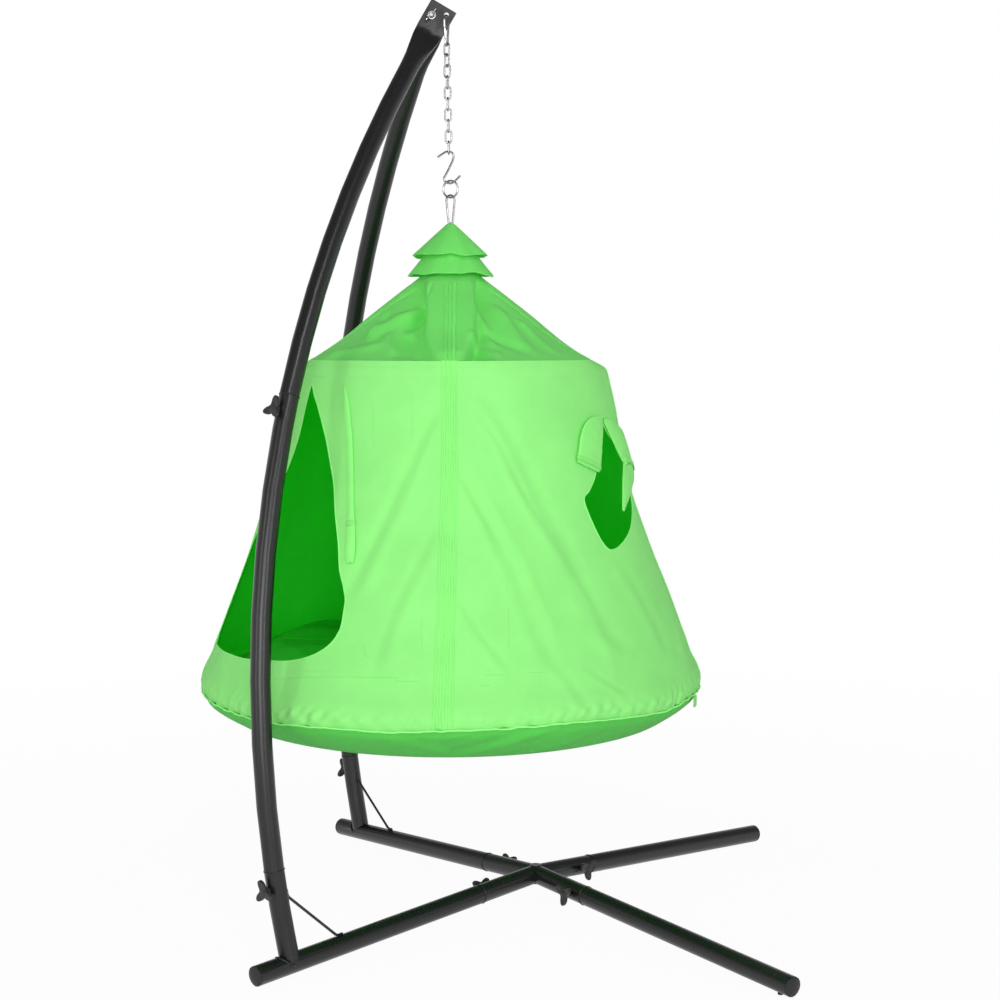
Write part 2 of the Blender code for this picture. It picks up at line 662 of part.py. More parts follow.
def brace_rod(side_y):
    """Bent rod between stub and leg, whose ends lie along the tubes."""
    arm = arm_path(side_y)
    leg = leg_path(-1, side_y)
    inward = -arm_outside(arm, BRACE_ON_ARM)
    upward, _ = frame_at(leg.along(0.0), vec(0.0, 0.0, 1.0))
    up_arm = arm.along(BRACE_ON_ARM)
    out_leg = leg.along(0.0)
    lift = TUBE_R + BRACE_R - BRACE_SINK
    high = arm.at(BRACE_ON_ARM) + lift * inward
    low = leg.at(BRACE_ON_LEG) + lift * upward
    points = [high + BRACE_FOOT * up_arm, high, low, low - BRACE_FOOT * out_leg]
    slope = unit(low - high)
    line = [points[0], high + 0.003 * up_arm, high + 0.004 * slope, low - 0.004 * slope, low - 0.003 * out_leg,
            points[3]]
    normal = unit(np.cross(up_arm, out_leg))
    return wire("brace", line, normal, BRACE_R, None)


# Bolt and wing nut of the plates

def plate_stack():
    """Half of the thickness of the two plates with their gap."""
    return PLATE_THICKNESS + PLAY / 2


def build_plate_bolt():
    """Bolt through both plates, its head on the back, with washers on both faces."""
    centre = plate_point(BOLT_ALONG, BOLT_ACROSS)
    back = vec(0.0, 1.0, 0.0)
    face = plate_stack() + 2 * PLAY + WASHER_THICKNESS
    steps = [(-face - NUT_HEIGHT - 0.002, BOLT_R - 0.0005), (-face - NUT_HEIGHT - 0.0015, BOLT_R), (face, BOLT_R)]
    rings = [round_ring(centre + a * back, back, vec(0, 0, 1), r, 12) for a, r in steps]
    for a in (face, face + BOLT_HEAD_HEIGHT):
        rings.append(hex_ring(centre + a * back, back))
    skin("plate_bolt", rings, "zinc")
    for sign, label in ((-1, "front"), (1, "back")):
        near = plate_stack() + PLAY
        far = near + WASHER_THICKNESS
        outline = [(near, WASHER_R), (far, WASHER_R), (far, BOLT_R + PLAY), (near, BOLT_R + PLAY)]
        rings = [round_ring(centre + sign * a * back, back, vec(0, 0, 1), r, 12) for a, r in outline]
        skin("washer_" + label, rings, "zinc", loop=True)


def hex_ring(centre, axis):
    """A hexagon written with twelve points, so that it joins a ring of twelve."""
    ring = round_ring(centre, axis, vec(0, 0, 1), BOLT_HEAD_R, 12)
    for k in range(1, 12, 2):
        ring[k] = (ring[k - 1] + ring[(k + 1) % 12]) / 2
    return ring


def build_wing_nut():
    """Wing nut on the front face: a hub with its bore, and two wings."""
    centre = plate_point(BOLT_ALONG, BOLT_ACROSS)
    front = vec(0.0, -1.0, 0.0)
    near = plate_stack() + 2 * PLAY + WASHER_THICKNESS
    far = near + NUT_HEIGHT
    outline = [(near, NUT_R + 0.0008), (near + 0.3 * NUT_HEIGHT, NUT_R), (far, 0.82 * NUT_R),
               (far, BOLT_R + PLAY), (near, BOLT_R + PLAY)]
    rings = [round_ring(centre + a * front, front, vec(0, 0, 1), r, 16) for a, r in outline]
    nut = skin("wing_nut", rings, "zinc", loop=True)
    along = unit(vec(-1.0, 0.0, -1.0))
    thick = unit(vec(-1.0, 0.0, 1.0))
    for sign in (-1, 1):
        rings = []
        for reach, low, high in ((NUT_R - 0.0014, 0.15, 0.75), (0.75 * WING_REACH, 0.35, 1.15),
                                 (WING_REACH, 0.75, 1.25)):
            base = centre + sign * reach * along
            corners = [(-1, low), (1, low), (1, high), (-1, high)]
            rings.append([base + side * WING_HALF_THICKNESS * thick + (near + h * NUT_HEIGHT) * front
                          for side, h in corners])
        combine(nut, skin("wing", rings, None), "UNION")
    return nut


# Hanging gear

def arc(centre_u, centre_v, radius, start, stop, count):
    """Points of an arc in a plane, angles in degrees from the u direction."""
    angles = np.radians(np.linspace(start, stop, count))
    return [(centre_u + radius * math.cos(a), centre_v + radius * math.sin(a)) for a in angles]


def place(points, yaw, origin):
    """Put flat (u, v) points in the upright plane at this yaw."""
    across = turn(yaw)
    return [origin + u * across + v * vec(0.0, 0.0, 1.0) for u, v in points]


def snap_outline():
    """Closed centre line of a snap hook: upper bow at v = 0, lower bow SNAP_HEIGHT below."""
    top = arc(0.0, -SNAP_TOP_R, SNAP_TOP_R, 0, 180, 7)
    bottom = arc(0.0, -SNAP_HEIGHT + SNAP_BOTTOM_R, SNAP_BOTTOM_R, 180, 360, 7)
    return top + bottom


def gate_side(v):
    """Distance of the gate's side from the middle of the snap hook, at the height v."""
    high = -SNAP_TOP_R
    low = -SNAP_HEIGHT + SNAP_BOTTOM_R
    share = (high - v) / (high - low)
    return -(SNAP_TOP_R + share * (SNAP_BOTTOM_R - SNAP_TOP_R))


def build_snap_hook(body_name, gate_name, yaw, origin):
    """Body and gate of a snap hook. The gate closes the side at -u and pivots at its lower end."""
    tip = -GATE_TO
    pivot = -GATE_FROM
    nose = (gate_side(tip), tip)
    low = pivot - SNAP_WIRE_R - PLAY
    heel = (gate_side(low), low)
    top = arc(0.0, -SNAP_TOP_R, SNAP_TOP_R, 180, 0, 7)
    bottom = arc(0.0, -SNAP_HEIGHT + SNAP_BOTTOM_R, SNAP_BOTTOM_R, 360, 180, 7)
    body = [nose] + top + bottom + [heel]
    normal = np.cross(turn(yaw), vec(0, 0, 1))
    wire(body_name, place(body, yaw, origin), normal, SNAP_WIRE_R, "zinc")
    start = vec(gate_side(pivot), 0.0, pivot)
    end = vec(gate_side(tip), 0.0, tip)
    along = unit(end - start)
    length = np.linalg.norm(end - start) - PLAY
    steps = [(-SNAP_WIRE_R, 0.0008), (-0.6 * SNAP_WIRE_R, 0.0020), (0.0, SNAP_WIRE_R), (length, SNAP_WIRE_R)]
    rings = []
    for a, r in steps:
        flat = start + a * along
        centre = place([(flat[0], flat[2])], yaw, origin)[0]
        tangent = along[0] * turn(yaw) + along[2] * vec(0, 0, 1)
        rings.append(round_ring(centre, tangent, normal, r, 8))
    skin(gate_name, rings, "zinc")


def dense(points, loop, step=0.0003):
    """Extra points on the straight pieces of a line."""
    points = [np.array(p) for p in points]
    if loop:
        points.append(points[0])
    result = []
    for a, b in zip(points, points[1:]):
        count = max(1, math.ceil(np.linalg.norm(b - a) / step))
        result += [a + (b - a) * k / count for k in range(count)]
    return np.array(result)


def hang(carrier, hung, distance, high, low):
    """Lower a bent wire on its carrier until their centre lines are the distance apart.

    Both are dense points. High is a shift at which the hung wire is clear above its seat, low one at which
    it would be in the carrier. Returns the shift along Z.
    """
    def least(shift):
        moved = hung + vec(0.0, 0.0, shift)
        gap = np.linalg.norm(carrier[:, None, :] - moved[None, :, :], axis=2)
        return gap.min()

    for _ in range(26):
        middle = (high + low) / 2
        if least(middle) > distance:
            high = middle
        else:
            low = middle
    return high


def link_outline():
    """Closed centre line of a chain link, its top at v = 0."""
    top = arc(0.0, -LINK_HALF_WIDTH, LINK_HALF_WIDTH, 0, 180, 5)
    bottom = arc(0.0, -LINK_HEIGHT + LINK_HALF_WIDTH, LINK_HALF_WIDTH, 180, 360, 5)
    return top + bottom


def near_end(points, upper, reach):
    """The part of a line within reach of its top or its bottom."""
    edge = points[:, 2].max() if upper else points[:, 2].min()
    return points[np.abs(points[:, 2] - edge) < reach]


def hanging_chain():
    """Origins of all hanging pieces, each lowered on the one that carries it."""
    x = HOLE[0]
    drop = HOLE[2]
    apart = HOLE_R - SNAP_WIRE_R - PLAY
    lean = plate_stack() / math.tan(math.radians(UPPER_SNAP_YAW))
    bow_drop = SNAP_TOP_R - math.sqrt(SNAP_TOP_R ** 2 - (plate_stack() / math.sin(math.radians(UPPER_SNAP_YAW))) ** 2)
    snap_origin = vec(x, 0.0, drop + bow_drop - math.sqrt(max(apart ** 2 - lean ** 2, 0.0)) + 0.0002)
    places = {"upper_snap": snap_origin}
    carrier = near_end(dense(place(snap_outline(), UPPER_SNAP_YAW, snap_origin), True), False, 0.009)
    carrier_r = SNAP_WIRE_R
    links = []
    drift = vec(HANG_DRIFT_X, HANG_DRIFT_Y, 0.0)
    for k in range(LINK_COUNT):
        bottom = carrier[:, 2].min()
        origin = vec(x, 0.0, bottom) + drift * (k + 1) / (LINK_COUNT + 1)
        outline = dense(place(link_outline(), LINK_YAWS[k], origin), True)
        apart = carrier_r + LINK_WIRE_R + (PLAY if k == 0 else -LINK_HOLD)
        shift = hang(carrier, near_end(outline, True, 0.009), apart, apart + 0.006, 0.0)
        origin = origin + vec(0.0, 0.0, shift)
        links.append(origin)
        carrier = near_end(dense(place(link_outline(), LINK_YAWS[k], origin), True), False, 0.009)
        carrier_r = LINK_WIRE_R
    places["links"] = links
    s_top = max(v for _, v in S_TURNS)
    s_top_u = [u for u, v in S_TURNS if v == s_top][0]
    s_bottom_u = [u for u, v in S_TURNS if v == 0.0][0]
    bottom = carrier[:, 2].min()
    origin = vec(x, 0.0, bottom - s_top) + drift - s_top_u * turn(S_YAW)
    outline = dense(place(S_TURNS, S_YAW, origin), False)
    shift = hang(carrier, near_end(outline, True, 0.012), LINK_WIRE_R + S_WIRE_R + PLAY, 0.012, 0.0)
    origin = origin + vec(0.0, 0.0, shift)
    places["s_hook"] = origin
    carrier = near_end(dense(place(S_TURNS, S_YAW, origin), False), False, 0.012)
    seat = origin + s_bottom_u * turn(S_YAW)
    ring = [(RING_R * math.cos(a), RING_R * math.sin(a)) for a in np.arange(20) * math.pi / 10]
    origin = vec(seat[0], seat[1], seat[2] - RING_R)
    outline = dense(place(ring, RING_YAW, origin), True)
    shift = hang(carrier, near_end(outline, True, 0.010), S_WIRE_R + RING_WIRE_R + PLAY, 0.014, 0.0)
    origin = origin + vec(0.0, 0.0, shift)
    places["ring"] = origin
    carrier = near_end(dense(place(ring, RING_YAW, origin), True), False, 0.008)
    origin = vec(origin[0], origin[1], origin[2] - RING_R)
    outline = dense(place(snap_outline(), LOWER_SNAP_YAW, origin), True)
    shift = hang(carrier, near_end(outline, True, 0.010), RING_WIRE_R + SNAP_WIRE_R + PLAY, 0.012, 0.0)
    places["lower_snap"] = origin + vec(0.0, 0.0, shift)
    return places


def build_hanging_gear(places):
    """Snap hooks, chain, S-hook and ring."""
    build_snap_hook("upper_snap_body", "upper_snap_gate", UPPER_SNAP_YAW, places["upper_snap"])
    chain = None
    for origin, yaw in zip(places["links"], LINK_YAWS):
        normal = np.cross(turn(yaw), vec(0, 0, 1))
        points = place(link_outline(), yaw, origin)
        if chain is None:
            chain = wire("chain", points, normal, LINK_WIRE_R, "zinc", sides=LINK_SIDES, loop=True)
        else:
            combine(chain, wire("link", points, normal, LINK_WIRE_R, None, sides=LINK_SIDES, loop=True), "UNION")
    normal = np.cross(turn(S_YAW), vec(0, 0, 1))
    wire("s_hook", place(S_TURNS, S_YAW, places["s_hook"]), normal, S_WIRE_R, "zinc")
    normal = np.cross(turn(RING_YAW), vec(0, 0, 1))
    ring = [(RING_R * math.cos(a), RING_R * math.sin(a)) for a in np.arange(20) * math.pi / 10]
    wire("ring", place(ring, RING_YAW, places["ring"]), normal, RING_WIRE_R, "zinc", loop=True)
    build_snap_hook("lower_snap_body", "lower_snap_gate", LOWER_SNAP_YAW, places["lower_snap"])


# Tent

class Tent:
    """Where the tent hangs: its axis and the height of its floor."""

    def __init__(self, places):
        snap = places["lower_snap"]
        self.x = snap[0]
        self.y = snap[1]
        self.floor = snap[2] - SNAP_HEIGHT - SNAP_WIRE_R + TENT_SINK - TENT_HEIGHT

    def point(self, angle, radius, height):
        """A point from its angle in degrees, radius and height above the floor."""
        a = math.radians(angle)
        return vec(self.x + radius * math.sin(a), self.y - radius * math.cos(a), self.floor + height)


def offset_profile(profile, distance):
    """The same profile, moved inwards by the distance, with square ends and mitred corners."""
    points = [np.array(p) for p in profile]
    normals = []
    for a, b in zip(points, points[1:]):
        d = unit(b - a)
        normals.append(np.array([d[1], -d[0]]))
    result = []
    for k, p in enumerate(points):
        n0 = normals[max(k - 1, 0)]
        n1 = normals[min(k, len(normals) - 1)]
        result.append(tuple(p + distance * (n0 + n1) / (1 + np.dot(n0, n1))))
    return result


def seam_half_angle(radius, width):
    """Half of the angle that a tape covers at this radius, in degrees."""
    return math.degrees(math.asin(width / 2 / max(radius, TAPE_INSIDE_R)))


def seam_columns(radius, width, cells):
    """Angles of all columns at a radius: two at each tape's edges, the others evenly between the tapes."""
    half = seam_half_angle(radius, width)
    columns = []
    for quarter in range(4):
        start = SEAM_TURN + 90.0 * quarter + half
        columns += [start + (90.0 - 2 * half) * k / cells for k in range(cells + 1)]
    return columns


def lathe(tent, name, profile_loop, width, cells, slot):
    """A closed ring of cloth. The profile is a closed loop of radii and heights."""
    rings = [[tent.point(a, r, h) for a in seam_columns(r, width, cells)] for r, h in profile_loop]
    return skin(name, rings, slot, loop=True)


def build_caps(tent):
    """The two small cone tiers at the top, each with a hem that turns in under it."""
    (r0, h0), (r1, h1) = TOP_CAP_PROFILE[:2]
    slope = (h0 - h1) / (r1 - r0)
    start_h = h0 - slope * (SECOND_CAP_START_R - r0) - (CLOTH + 2 * SEWN) * math.sqrt(1 + slope * slope)
    second = ((SECOND_CAP_START_R, start_h),) + SECOND_CAP_PROFILE
    for name, profile in (("top_cap", TOP_CAP_PROFILE), ("second_cap", second)):
        inner = offset_profile(profile, CLOTH)
        lathe(tent, name, list(profile) + inner[::-1], ROOF_TAPE_WIDTH, ROOF_COLUMNS, "roof_green")


def build_roof(tent):
    """Roof cone, open at the top where the strap goes in."""
    inner = offset_profile(ROOF_PROFILE, CLOTH)
    edge_r, edge_h = ROOF_PROFILE[-1]
    slope = (ROOF_PROFILE[-2][1] - edge_h) / (edge_r - ROOF_PROFILE[-2][0])
    inner[-1] = (edge_r, edge_h - CLOTH * math.sqrt(1 + slope * slope))
    lathe(tent, "roof", list(ROOF_PROFILE) + inner[::-1], ROOF_TAPE_WIDTH, ROOF_COLUMNS, "roof_green")


def wall_outline():
    """Outer profile of the wall, with its top edge under the roof's edge."""
    edge_r, edge_h = ROOF_PROFILE[-1]
    return [(edge_r, edge_h - EAVE_DROP - PLAY)] + list(WALL_PROFILE)


def fold(share, height):
    """How far the wall stands out at a share of its panel's width."""
    if share <= 0.0 or share >= 1.0:
        return 0.0
    top = WALL_PROFILE[0][1]
    bell = math.sin(math.pi * min(max((height - BASE_HOOP_HEIGHT) / (top - BASE_HOOP_HEIGHT), 0.0), 1.0))
    wave = math.cos(2 * math.pi * FOLDS_PER_PANEL * share)
    return -FOLD_DEPTH * bell * (1 - wave) / 2


def wall_radius(angle, height):
    """Outer radius of the wall's flat cells, with their folds."""
    profile = wall_outline()[::-1]
    radius = np.interp(height, [h for _, h in profile], [r for r, _ in profile])
    half = seam_half_angle(radius, WALL_TAPE_WIDTH)
    width = 90.0 - 2 * half
    into = (angle - SEAM_TURN) % 90.0 - half
    cell = min(max(math.floor(into / width * TENT_COLUMNS), 0), TENT_COLUMNS - 1)
    low, high = cell / TENT_COLUMNS, (cell + 1) / TENT_COLUMNS
    near, far = radius + fold(low, height), radius + fold(high, height)
    before = math.radians(into - width * low)
    after = math.radians(width * high - into)
    return near * far * math.sin(before + after) / (near * math.sin(before) + far * math.sin(after))


def build_wall_panel(tent, name, quarter):
    """One sewn panel of the wall, a closed sheet from seam to seam."""
    outline = wall_outline()
    inner_profile = offset_profile(outline, CLOTH)
    (edge_r, edge_h), (corner_r, corner_h) = outline[:2]
    slope = (edge_h - corner_h) / (corner_r - edge_r)
    inner_profile[0] = (edge_r - CLOTH * math.sqrt(1 + 1 / slope ** 2), edge_h)
    start = SEAM_TURN + 90.0 * quarter
    layers = []
    for profile in (outline, inner_profile):
        rows = []
        for (r, h), (outer_r, _) in zip(profile, outline):
            half = seam_half_angle(outer_r, WALL_TAPE_WIDTH)
            cut = math.degrees(SEWN / 2 / r)
            flat_r = r * math.cos(math.radians(half))
            row = [tent.point(start + cut, flat_r / math.cos(math.radians(cut)), h)]
            for k in range(TENT_COLUMNS + 1):
                share = k / TENT_COLUMNS
                row.append(tent.point(start + half + (90.0 - 2 * half) * share, r + fold(share, h), h))
            row.append(tent.point(start + 90.0 - cut, flat_r / math.cos(math.radians(cut)), h))
            rows.append(row)
        layers.append(rows)
    return sheet(name, layers[0], layers[1], "cloth_green")


def radial_cutter(tent, name, outline):
    """Helper that cuts an opening of this outline through the wall."""
    flat = [vec(a, 100.0 * h, 0.0) for a, h in outline]
    triangles = tessellate_polygon([[tuple(p) for p in flat]])
    count = len(outline)
    points = [tent.point(a, 0.12, h) for a, h in outline] + [tent.point(a, 0.75, h) for a, h in outline]
    faces = [tuple(t) for t in triangles] + [tuple(count + i for i in t) for t in triangles]
    for k in range(count):
        n = (k + 1) % count
        faces.append((k, n, count + n))
        faces.append((k, count + n, count + k))
    return add_object(name, points, faces, None)


def build_walls(tent):
    """Four wall panels: the front left one has the door, the front right one the window."""
    names = ("wall_front_right", "wall_back_right", "wall_back_left", "wall_front_left")
    panels = {name: build_wall_panel(tent, name, quarter) for quarter, name in enumerate(names)}
    combine(panels["wall_front_left"], radial_cutter(tent, "door_cutter", DOOR), "DIFFERENCE")
    combine(panels["wall_front_right"], radial_cutter(tent, "window_cutter", WINDOW), "DIFFERENCE")


def piping_height():
    """Height of the piping's centre over the floor."""
    return WALL_PROFILE[-1][1] - SEWN / 2


def build_base(tent):
    """Base band, floor and the piping at the base seam."""
    seam_r, seam_h = WALL_PROFILE[-1]
    band = [(seam_r - SEWN, seam_h - SEWN)] + list(BAND_PROFILE)
    inner = offset_profile(band, CLOTH)
    inner[0] = (inner[0][0], seam_h - SEWN)
    lathe(tent, "base_band", band + inner[::-1], WALL_TAPE_WIDTH, TENT_COLUMNS, "base_green")
    edge_r = inner[-1][0] - 2 * SEWN
    columns = seam_columns(edge_r, WALL_TAPE_WIDTH, TENT_COLUMNS)
    rings = [[tent.point(a, edge_r, h) for a in columns] for h in (0.0, CLOTH)]
    skin("floor", rings, "base_green")
    hoop(tent, "base_piping", WALL_PROFILE[-1][0] + SEWN + PIPING_R, piping_height(), PIPING_R, 1, "tape_green")


def hoop(tent, name, radius, height, wire_r, every, slot):
    """A ring of wire whose corners lie on the wall's columns."""
    columns = seam_columns(radius, WALL_TAPE_WIDTH, TENT_COLUMNS)[::every]
    rings = []
    for angle in columns:
        centre = tent.point(angle, radius, height)
        out = unit(centre - tent.point(angle, 0.0, height))
        rings.append([centre + wire_r * (math.cos(t) * out + math.sin(t) * vec(0, 0, 1))
                      for t in np.arange(6) * math.pi / 3])
    return skin(name, rings, slot, loop=True)


def build_hoops(tent):
    """The two hoops that spread the cloth, inside the wall."""
    top_h = WALL_PROFILE[0][1] - EAVE_HOOP_BELOW
    inner = offset_profile(wall_outline(), CLOTH)[::-1]
    heights = [h for _, h in inner]
    radii = [r for r, _ in inner]
    eave_r = np.interp(top_h, heights, radii) - SEWN - EAVE_HOOP_R
    base_r = np.interp(BASE_HOOP_HEIGHT, heights, radii) - SEWN - BASE_HOOP_R
    hoop(tent, "eave_hoop", eave_r, top_h, EAVE_HOOP_R, 2, "frame_black")
    hoop(tent, "base_hoop", base_r, BASE_HOOP_HEIGHT, BASE_HOOP_R, 2, "frame_black")


def build_tape(tent, name, quarter):
    """Seam tape from under the second cap, over the eave, down to the base seam."""
    roof = [p for p in ROOF_PROFILE if p[0] > SECOND_CAP_PROFILE[-1][0] + 0.004]
    first = (SECOND_CAP_PROFILE[-1][0] + 0.004, np.interp(SECOND_CAP_PROFILE[-1][0] + 0.004,
                                                         [r for r, _ in ROOF_PROFILE], [h for _, h in ROOF_PROFILE]))
    roof = [first] + roof
    wall = wall_outline()[1:]
    wall[-1] = (wall[-1][0], piping_height() + PIPING_R + 2 * SEWN)
    path = roof + wall
    widths = [ROOF_TAPE_WIDTH] * len(roof) + [WALL_TAPE_WIDTH] * len(wall)
    angle = SEAM_TURN + 90.0 * quarter
    inside = offset_profile(path, -SEWN)
    outside = offset_profile(path, -SEWN - TAPE_THICKNESS)
    rings = []
    for (base_r, _), (r0, h0), (r1, h1), width in zip(path, inside, outside, widths):
        half = seam_half_angle(base_r, width)
        rings.append([tent.point(angle - half, r0, h0), tent.point(angle + half, r0, h0),
                      tent.point(angle + half, r1, h1), tent.point(angle - half, r1, h1)])
    return skin(name, rings, "tape_green")


def build_cushion(tent):
    """Round floor cushion: crown, drawn-in side and shallow channels from the middle to the rim."""
    rings = []
    inner_r = CUSHION_PROFILE[-1][0]
    outer_r = CUSHION_PROFILE[0][0]
    for r, h in CUSHION_PROFILE:
        on_top = math.sin(math.pi * (r - inner_r) / (outer_r - inner_r)) if h > 0.13 else 0.0
        ring = []
        for k in range(CUSHION_COLUMNS):
            share = k / CUSHION_COLUMNS * CUSHION_CHANNELS
            dip = CHANNEL_DEPTH * on_top * (1 + math.cos(2 * math.pi * share)) / 2
            ring.append(tent.point(360.0 * k / CUSHION_COLUMNS, r, CLOTH + SEWN + h - dip))
        rings.append(ring)
    return skin("cushion", rings, "cushion_green")


def roll_frame(tent, angle, height):
    """Outward direction of the wall at a point, and its level direction."""
    lower = tent.point(angle, wall_radius(angle, height - 0.01), height - 0.01)
    upper = tent.point(angle, wall_radius(angle, height + 0.01), height + 0.01)
    level = unit(tent.point(angle + 90.0, 1.0, 0.0) - tent.point(angle + 90.0, 0.0, 0.0))
    return unit(np.cross(level, upper - lower)), level


def roll_centre(tent, station):
    """Centre of a rolled flap's section, resting on the wall."""
    angle, height, _, half_depth = station
    out, _ = roll_frame(tent, angle, height)
    surface = tent.point(angle, wall_radius(angle, height), height)
    return surface + (SEWN + ROLL_LIFT + TIE_THICKNESS + TIE_PLAY + half_depth) * out


def build_roll(tent, name, stations):
    """A rolled flap, of flattened round section, that lies on the wall."""
    centres = [roll_centre(tent, s) for s in stations]
    rings = []
    for k, (angle, height, half_width, half_depth) in enumerate(stations):
        before = centres[max(k - 1, 0)]
        after = centres[min(k + 1, len(centres) - 1)]
        tangent = unit(after - before)
        out, _ = roll_frame(tent, angle, height)
        outward, sideways = frame_at(tangent, out)
        rings.append([centres[k] + half_width * math.cos(t) * sideways + half_depth * math.sin(t) * outward
                      for t in np.arange(ROLL_SIDES) * 2 * math.pi / ROLL_SIDES])
    return skin(name, rings, "cloth_green")


def build_tie(tent, name, stations, position):
    """A narrow band round a rolled flap, between the flap and the wall."""
    low = int(position)
    share = position - low
    station = [a + share * (b - a) for a, b in zip(stations[low], stations[low + 1])]
    angle, height, half_width, half_depth = station
    out, _ = roll_frame(tent, angle, height)
    start, stop = roll_centre(tent, stations[low]), roll_centre(tent, stations[low + 1])
    centre = start + share * (stop - start)
    along = unit(stop - start)
    outward, sideways = frame_at(along, out)
    rings = []
    for a in np.arange(16) * 2 * math.pi / 16:
        ring = []
        for stretch, side in ((0.0, -1), (0.0, 1), (TIE_THICKNESS, 1), (TIE_THICKNESS, -1)):
            wide = (half_width + TIE_PLAY) / math.cos(math.pi / 16) + stretch
            deep = half_depth + TIE_PLAY + stretch
            offset = wide * math.cos(a) * sideways + deep * math.sin(a) * outward
            ring.append(centre + offset + side * TIE_WIDTH / 2 * along)
        rings.append(ring)
    return skin(name, rings, "webbing_green", loop=True)


def build_tab(tent):
    """Strap tab that hangs from the base seam."""
    piping_low = piping_height() - PIPING_R
    outer = WALL_PROFILE[-1][0] + SEWN + PIPING_R + TAB_THICKNESS / 2
    half = math.degrees(TAB_WIDTH / 2 / outer)
    rings = []
    for height, narrow in ((piping_low - PLAY, 1.0), (piping_low - PLAY - 0.8 * TAB_LENGTH, 1.0),
                           (piping_low - PLAY - TAB_LENGTH, 0.7)):
        ring = []
        for side, radius in ((-1, outer), (1, outer), (1, outer - TAB_THICKNESS), (-1, outer - TAB_THICKNESS)):
            ring.append(tent.point(TAB_ANGLE + side * half * narrow, radius, height))
        rings.append(ring)
    return skin("strap_tab", rings, "webbing_green")


def build_strap(tent, places):
    """Webbing strap: over the lower snap hook's bow, through the roof's opening, its legs sewn under the roof."""
    snap = places["lower_snap"]
    bow = snap - vec(0.0, 0.0, SNAP_HEIGHT)
    across = turn(LOWER_SNAP_YAW)
    out = unit(np.cross(vec(0, 0, 1), across))
    saddle = SNAP_WIRE_R + PLAY + STRAP_HALF_THICKNESS
    flat = offset_profile(ROOF_PROFILE, CLOTH + SEWN + STRAP_HALF_THICKNESS + 0.0004)
    radii = [r for r, _ in flat]
    heights = [h for _, h in flat]
    floor = tent.floor - bow[2]
    legs = [(STRAP_SEWN_TO, np.interp(STRAP_SEWN_TO, radii, heights) + floor),
            (0.030, np.interp(0.030, radii, heights) + floor),
            (flat[0][0] + 0.003, np.interp(flat[0][0] + 0.003, radii, heights) + floor),
            (0.0075, flat[0][1] + floor - 0.0010)]
    legs += [(saddle + 0.0006, -0.012)]
    rise = SNAP_BOTTOM_R - math.sqrt(SNAP_BOTTOM_R ** 2 - STRAP_HALF_WIDTH ** 2) + PLAY
    over = [(saddle * math.cos(a), (saddle + rise) * math.sin(a)) for a in np.radians(np.linspace(0, 180, 7))]
    line = legs + over + [(-u, v) for u, v in legs[::-1]]
    rings = []
    for k, (u, v) in enumerate(line):
        before = line[max(k - 1, 0)]
        after = line[min(k + 1, len(line) - 1)]
        tangent = unit((after[0] - before[0]) * out + (after[1] - before[1]) * vec(0, 0, 1))
        centre = bow + u * out + v * vec(0, 0, 1)
        _, thick = frame_at(tangent, across)
        rings.append([centre + w * STRAP_HALF_WIDTH * across + t * STRAP_HALF_THICKNESS * thick
                      for w, t in ((-1, -1), (1, -1), (1, 1), (-1, 1))])
    return skin("top_strap", rings, "webbing_green")


def build_stand():
    """Everything that stands still."""
    build_cross_joint()
    labels = {(-1, -1): "front_left", (-1, 1): "back_left", (1, -1): "front_right", (1, 1): "back_right"}
    for (side_x, side_y), label in labels.items():
        build_leg("leg_" + label, side_x, side_y)
        build_end_plug("end_plug_" + label, side_x, side_y)
    build_glide()
    for side_y, label in ((-1, "front"), (1, "back")):
        build_lower_arm("lower_arm_" + label, side_y)
        build_upper_arm("upper_arm_" + label, side_y)
    build_plate_bolt()


def build_tent(places):
    """Everything that is sewn, laced or laid into the tent."""
    tent = Tent(places)
    build_strap(tent, places)
    build_caps(tent)
    build_roof(tent)
    build_walls(tent)
    build_base(tent)
    build_hoops(tent)
    for quarter, label in enumerate(("front", "right", "back", "left")):
        build_tape(tent, "seam_tape_" + label, quarter)
    build_cushion(tent)
    build_roll(tent, "door_roll", DOOR_ROLL)
    build_roll(tent, "window_roll_left", LEFT_ROLL)
    build_roll(tent, "window_roll_right", RIGHT_ROLL)
    for name, stations, position in TIES:
        build_tie(tent, name, stations, position)
    build_tab(tent)
    return tent


def centre_part():
    """Move every piece so that the origin is on the floor in the middle of the whole part."""
    corners = np.array([vec(*v.co) for part in bpy.data.objects for v in part.data.vertices])
    low = corners.min(axis=0)
    high = corners.max(axis=0)
    move = vec(-(low[0] + high[0]) / 2, 0.0, -low[2])
    for part in bpy.data.objects:
        for vertex in part.data.vertices:
            vertex.co = [a + b for a, b in zip(vertex.co, move)]
        part.data.update()
    return move


def tell(label, *values):
    """Print named points or directions, in metres."""
    print(label, *[np.round(v, 5).tolist() for v in values])


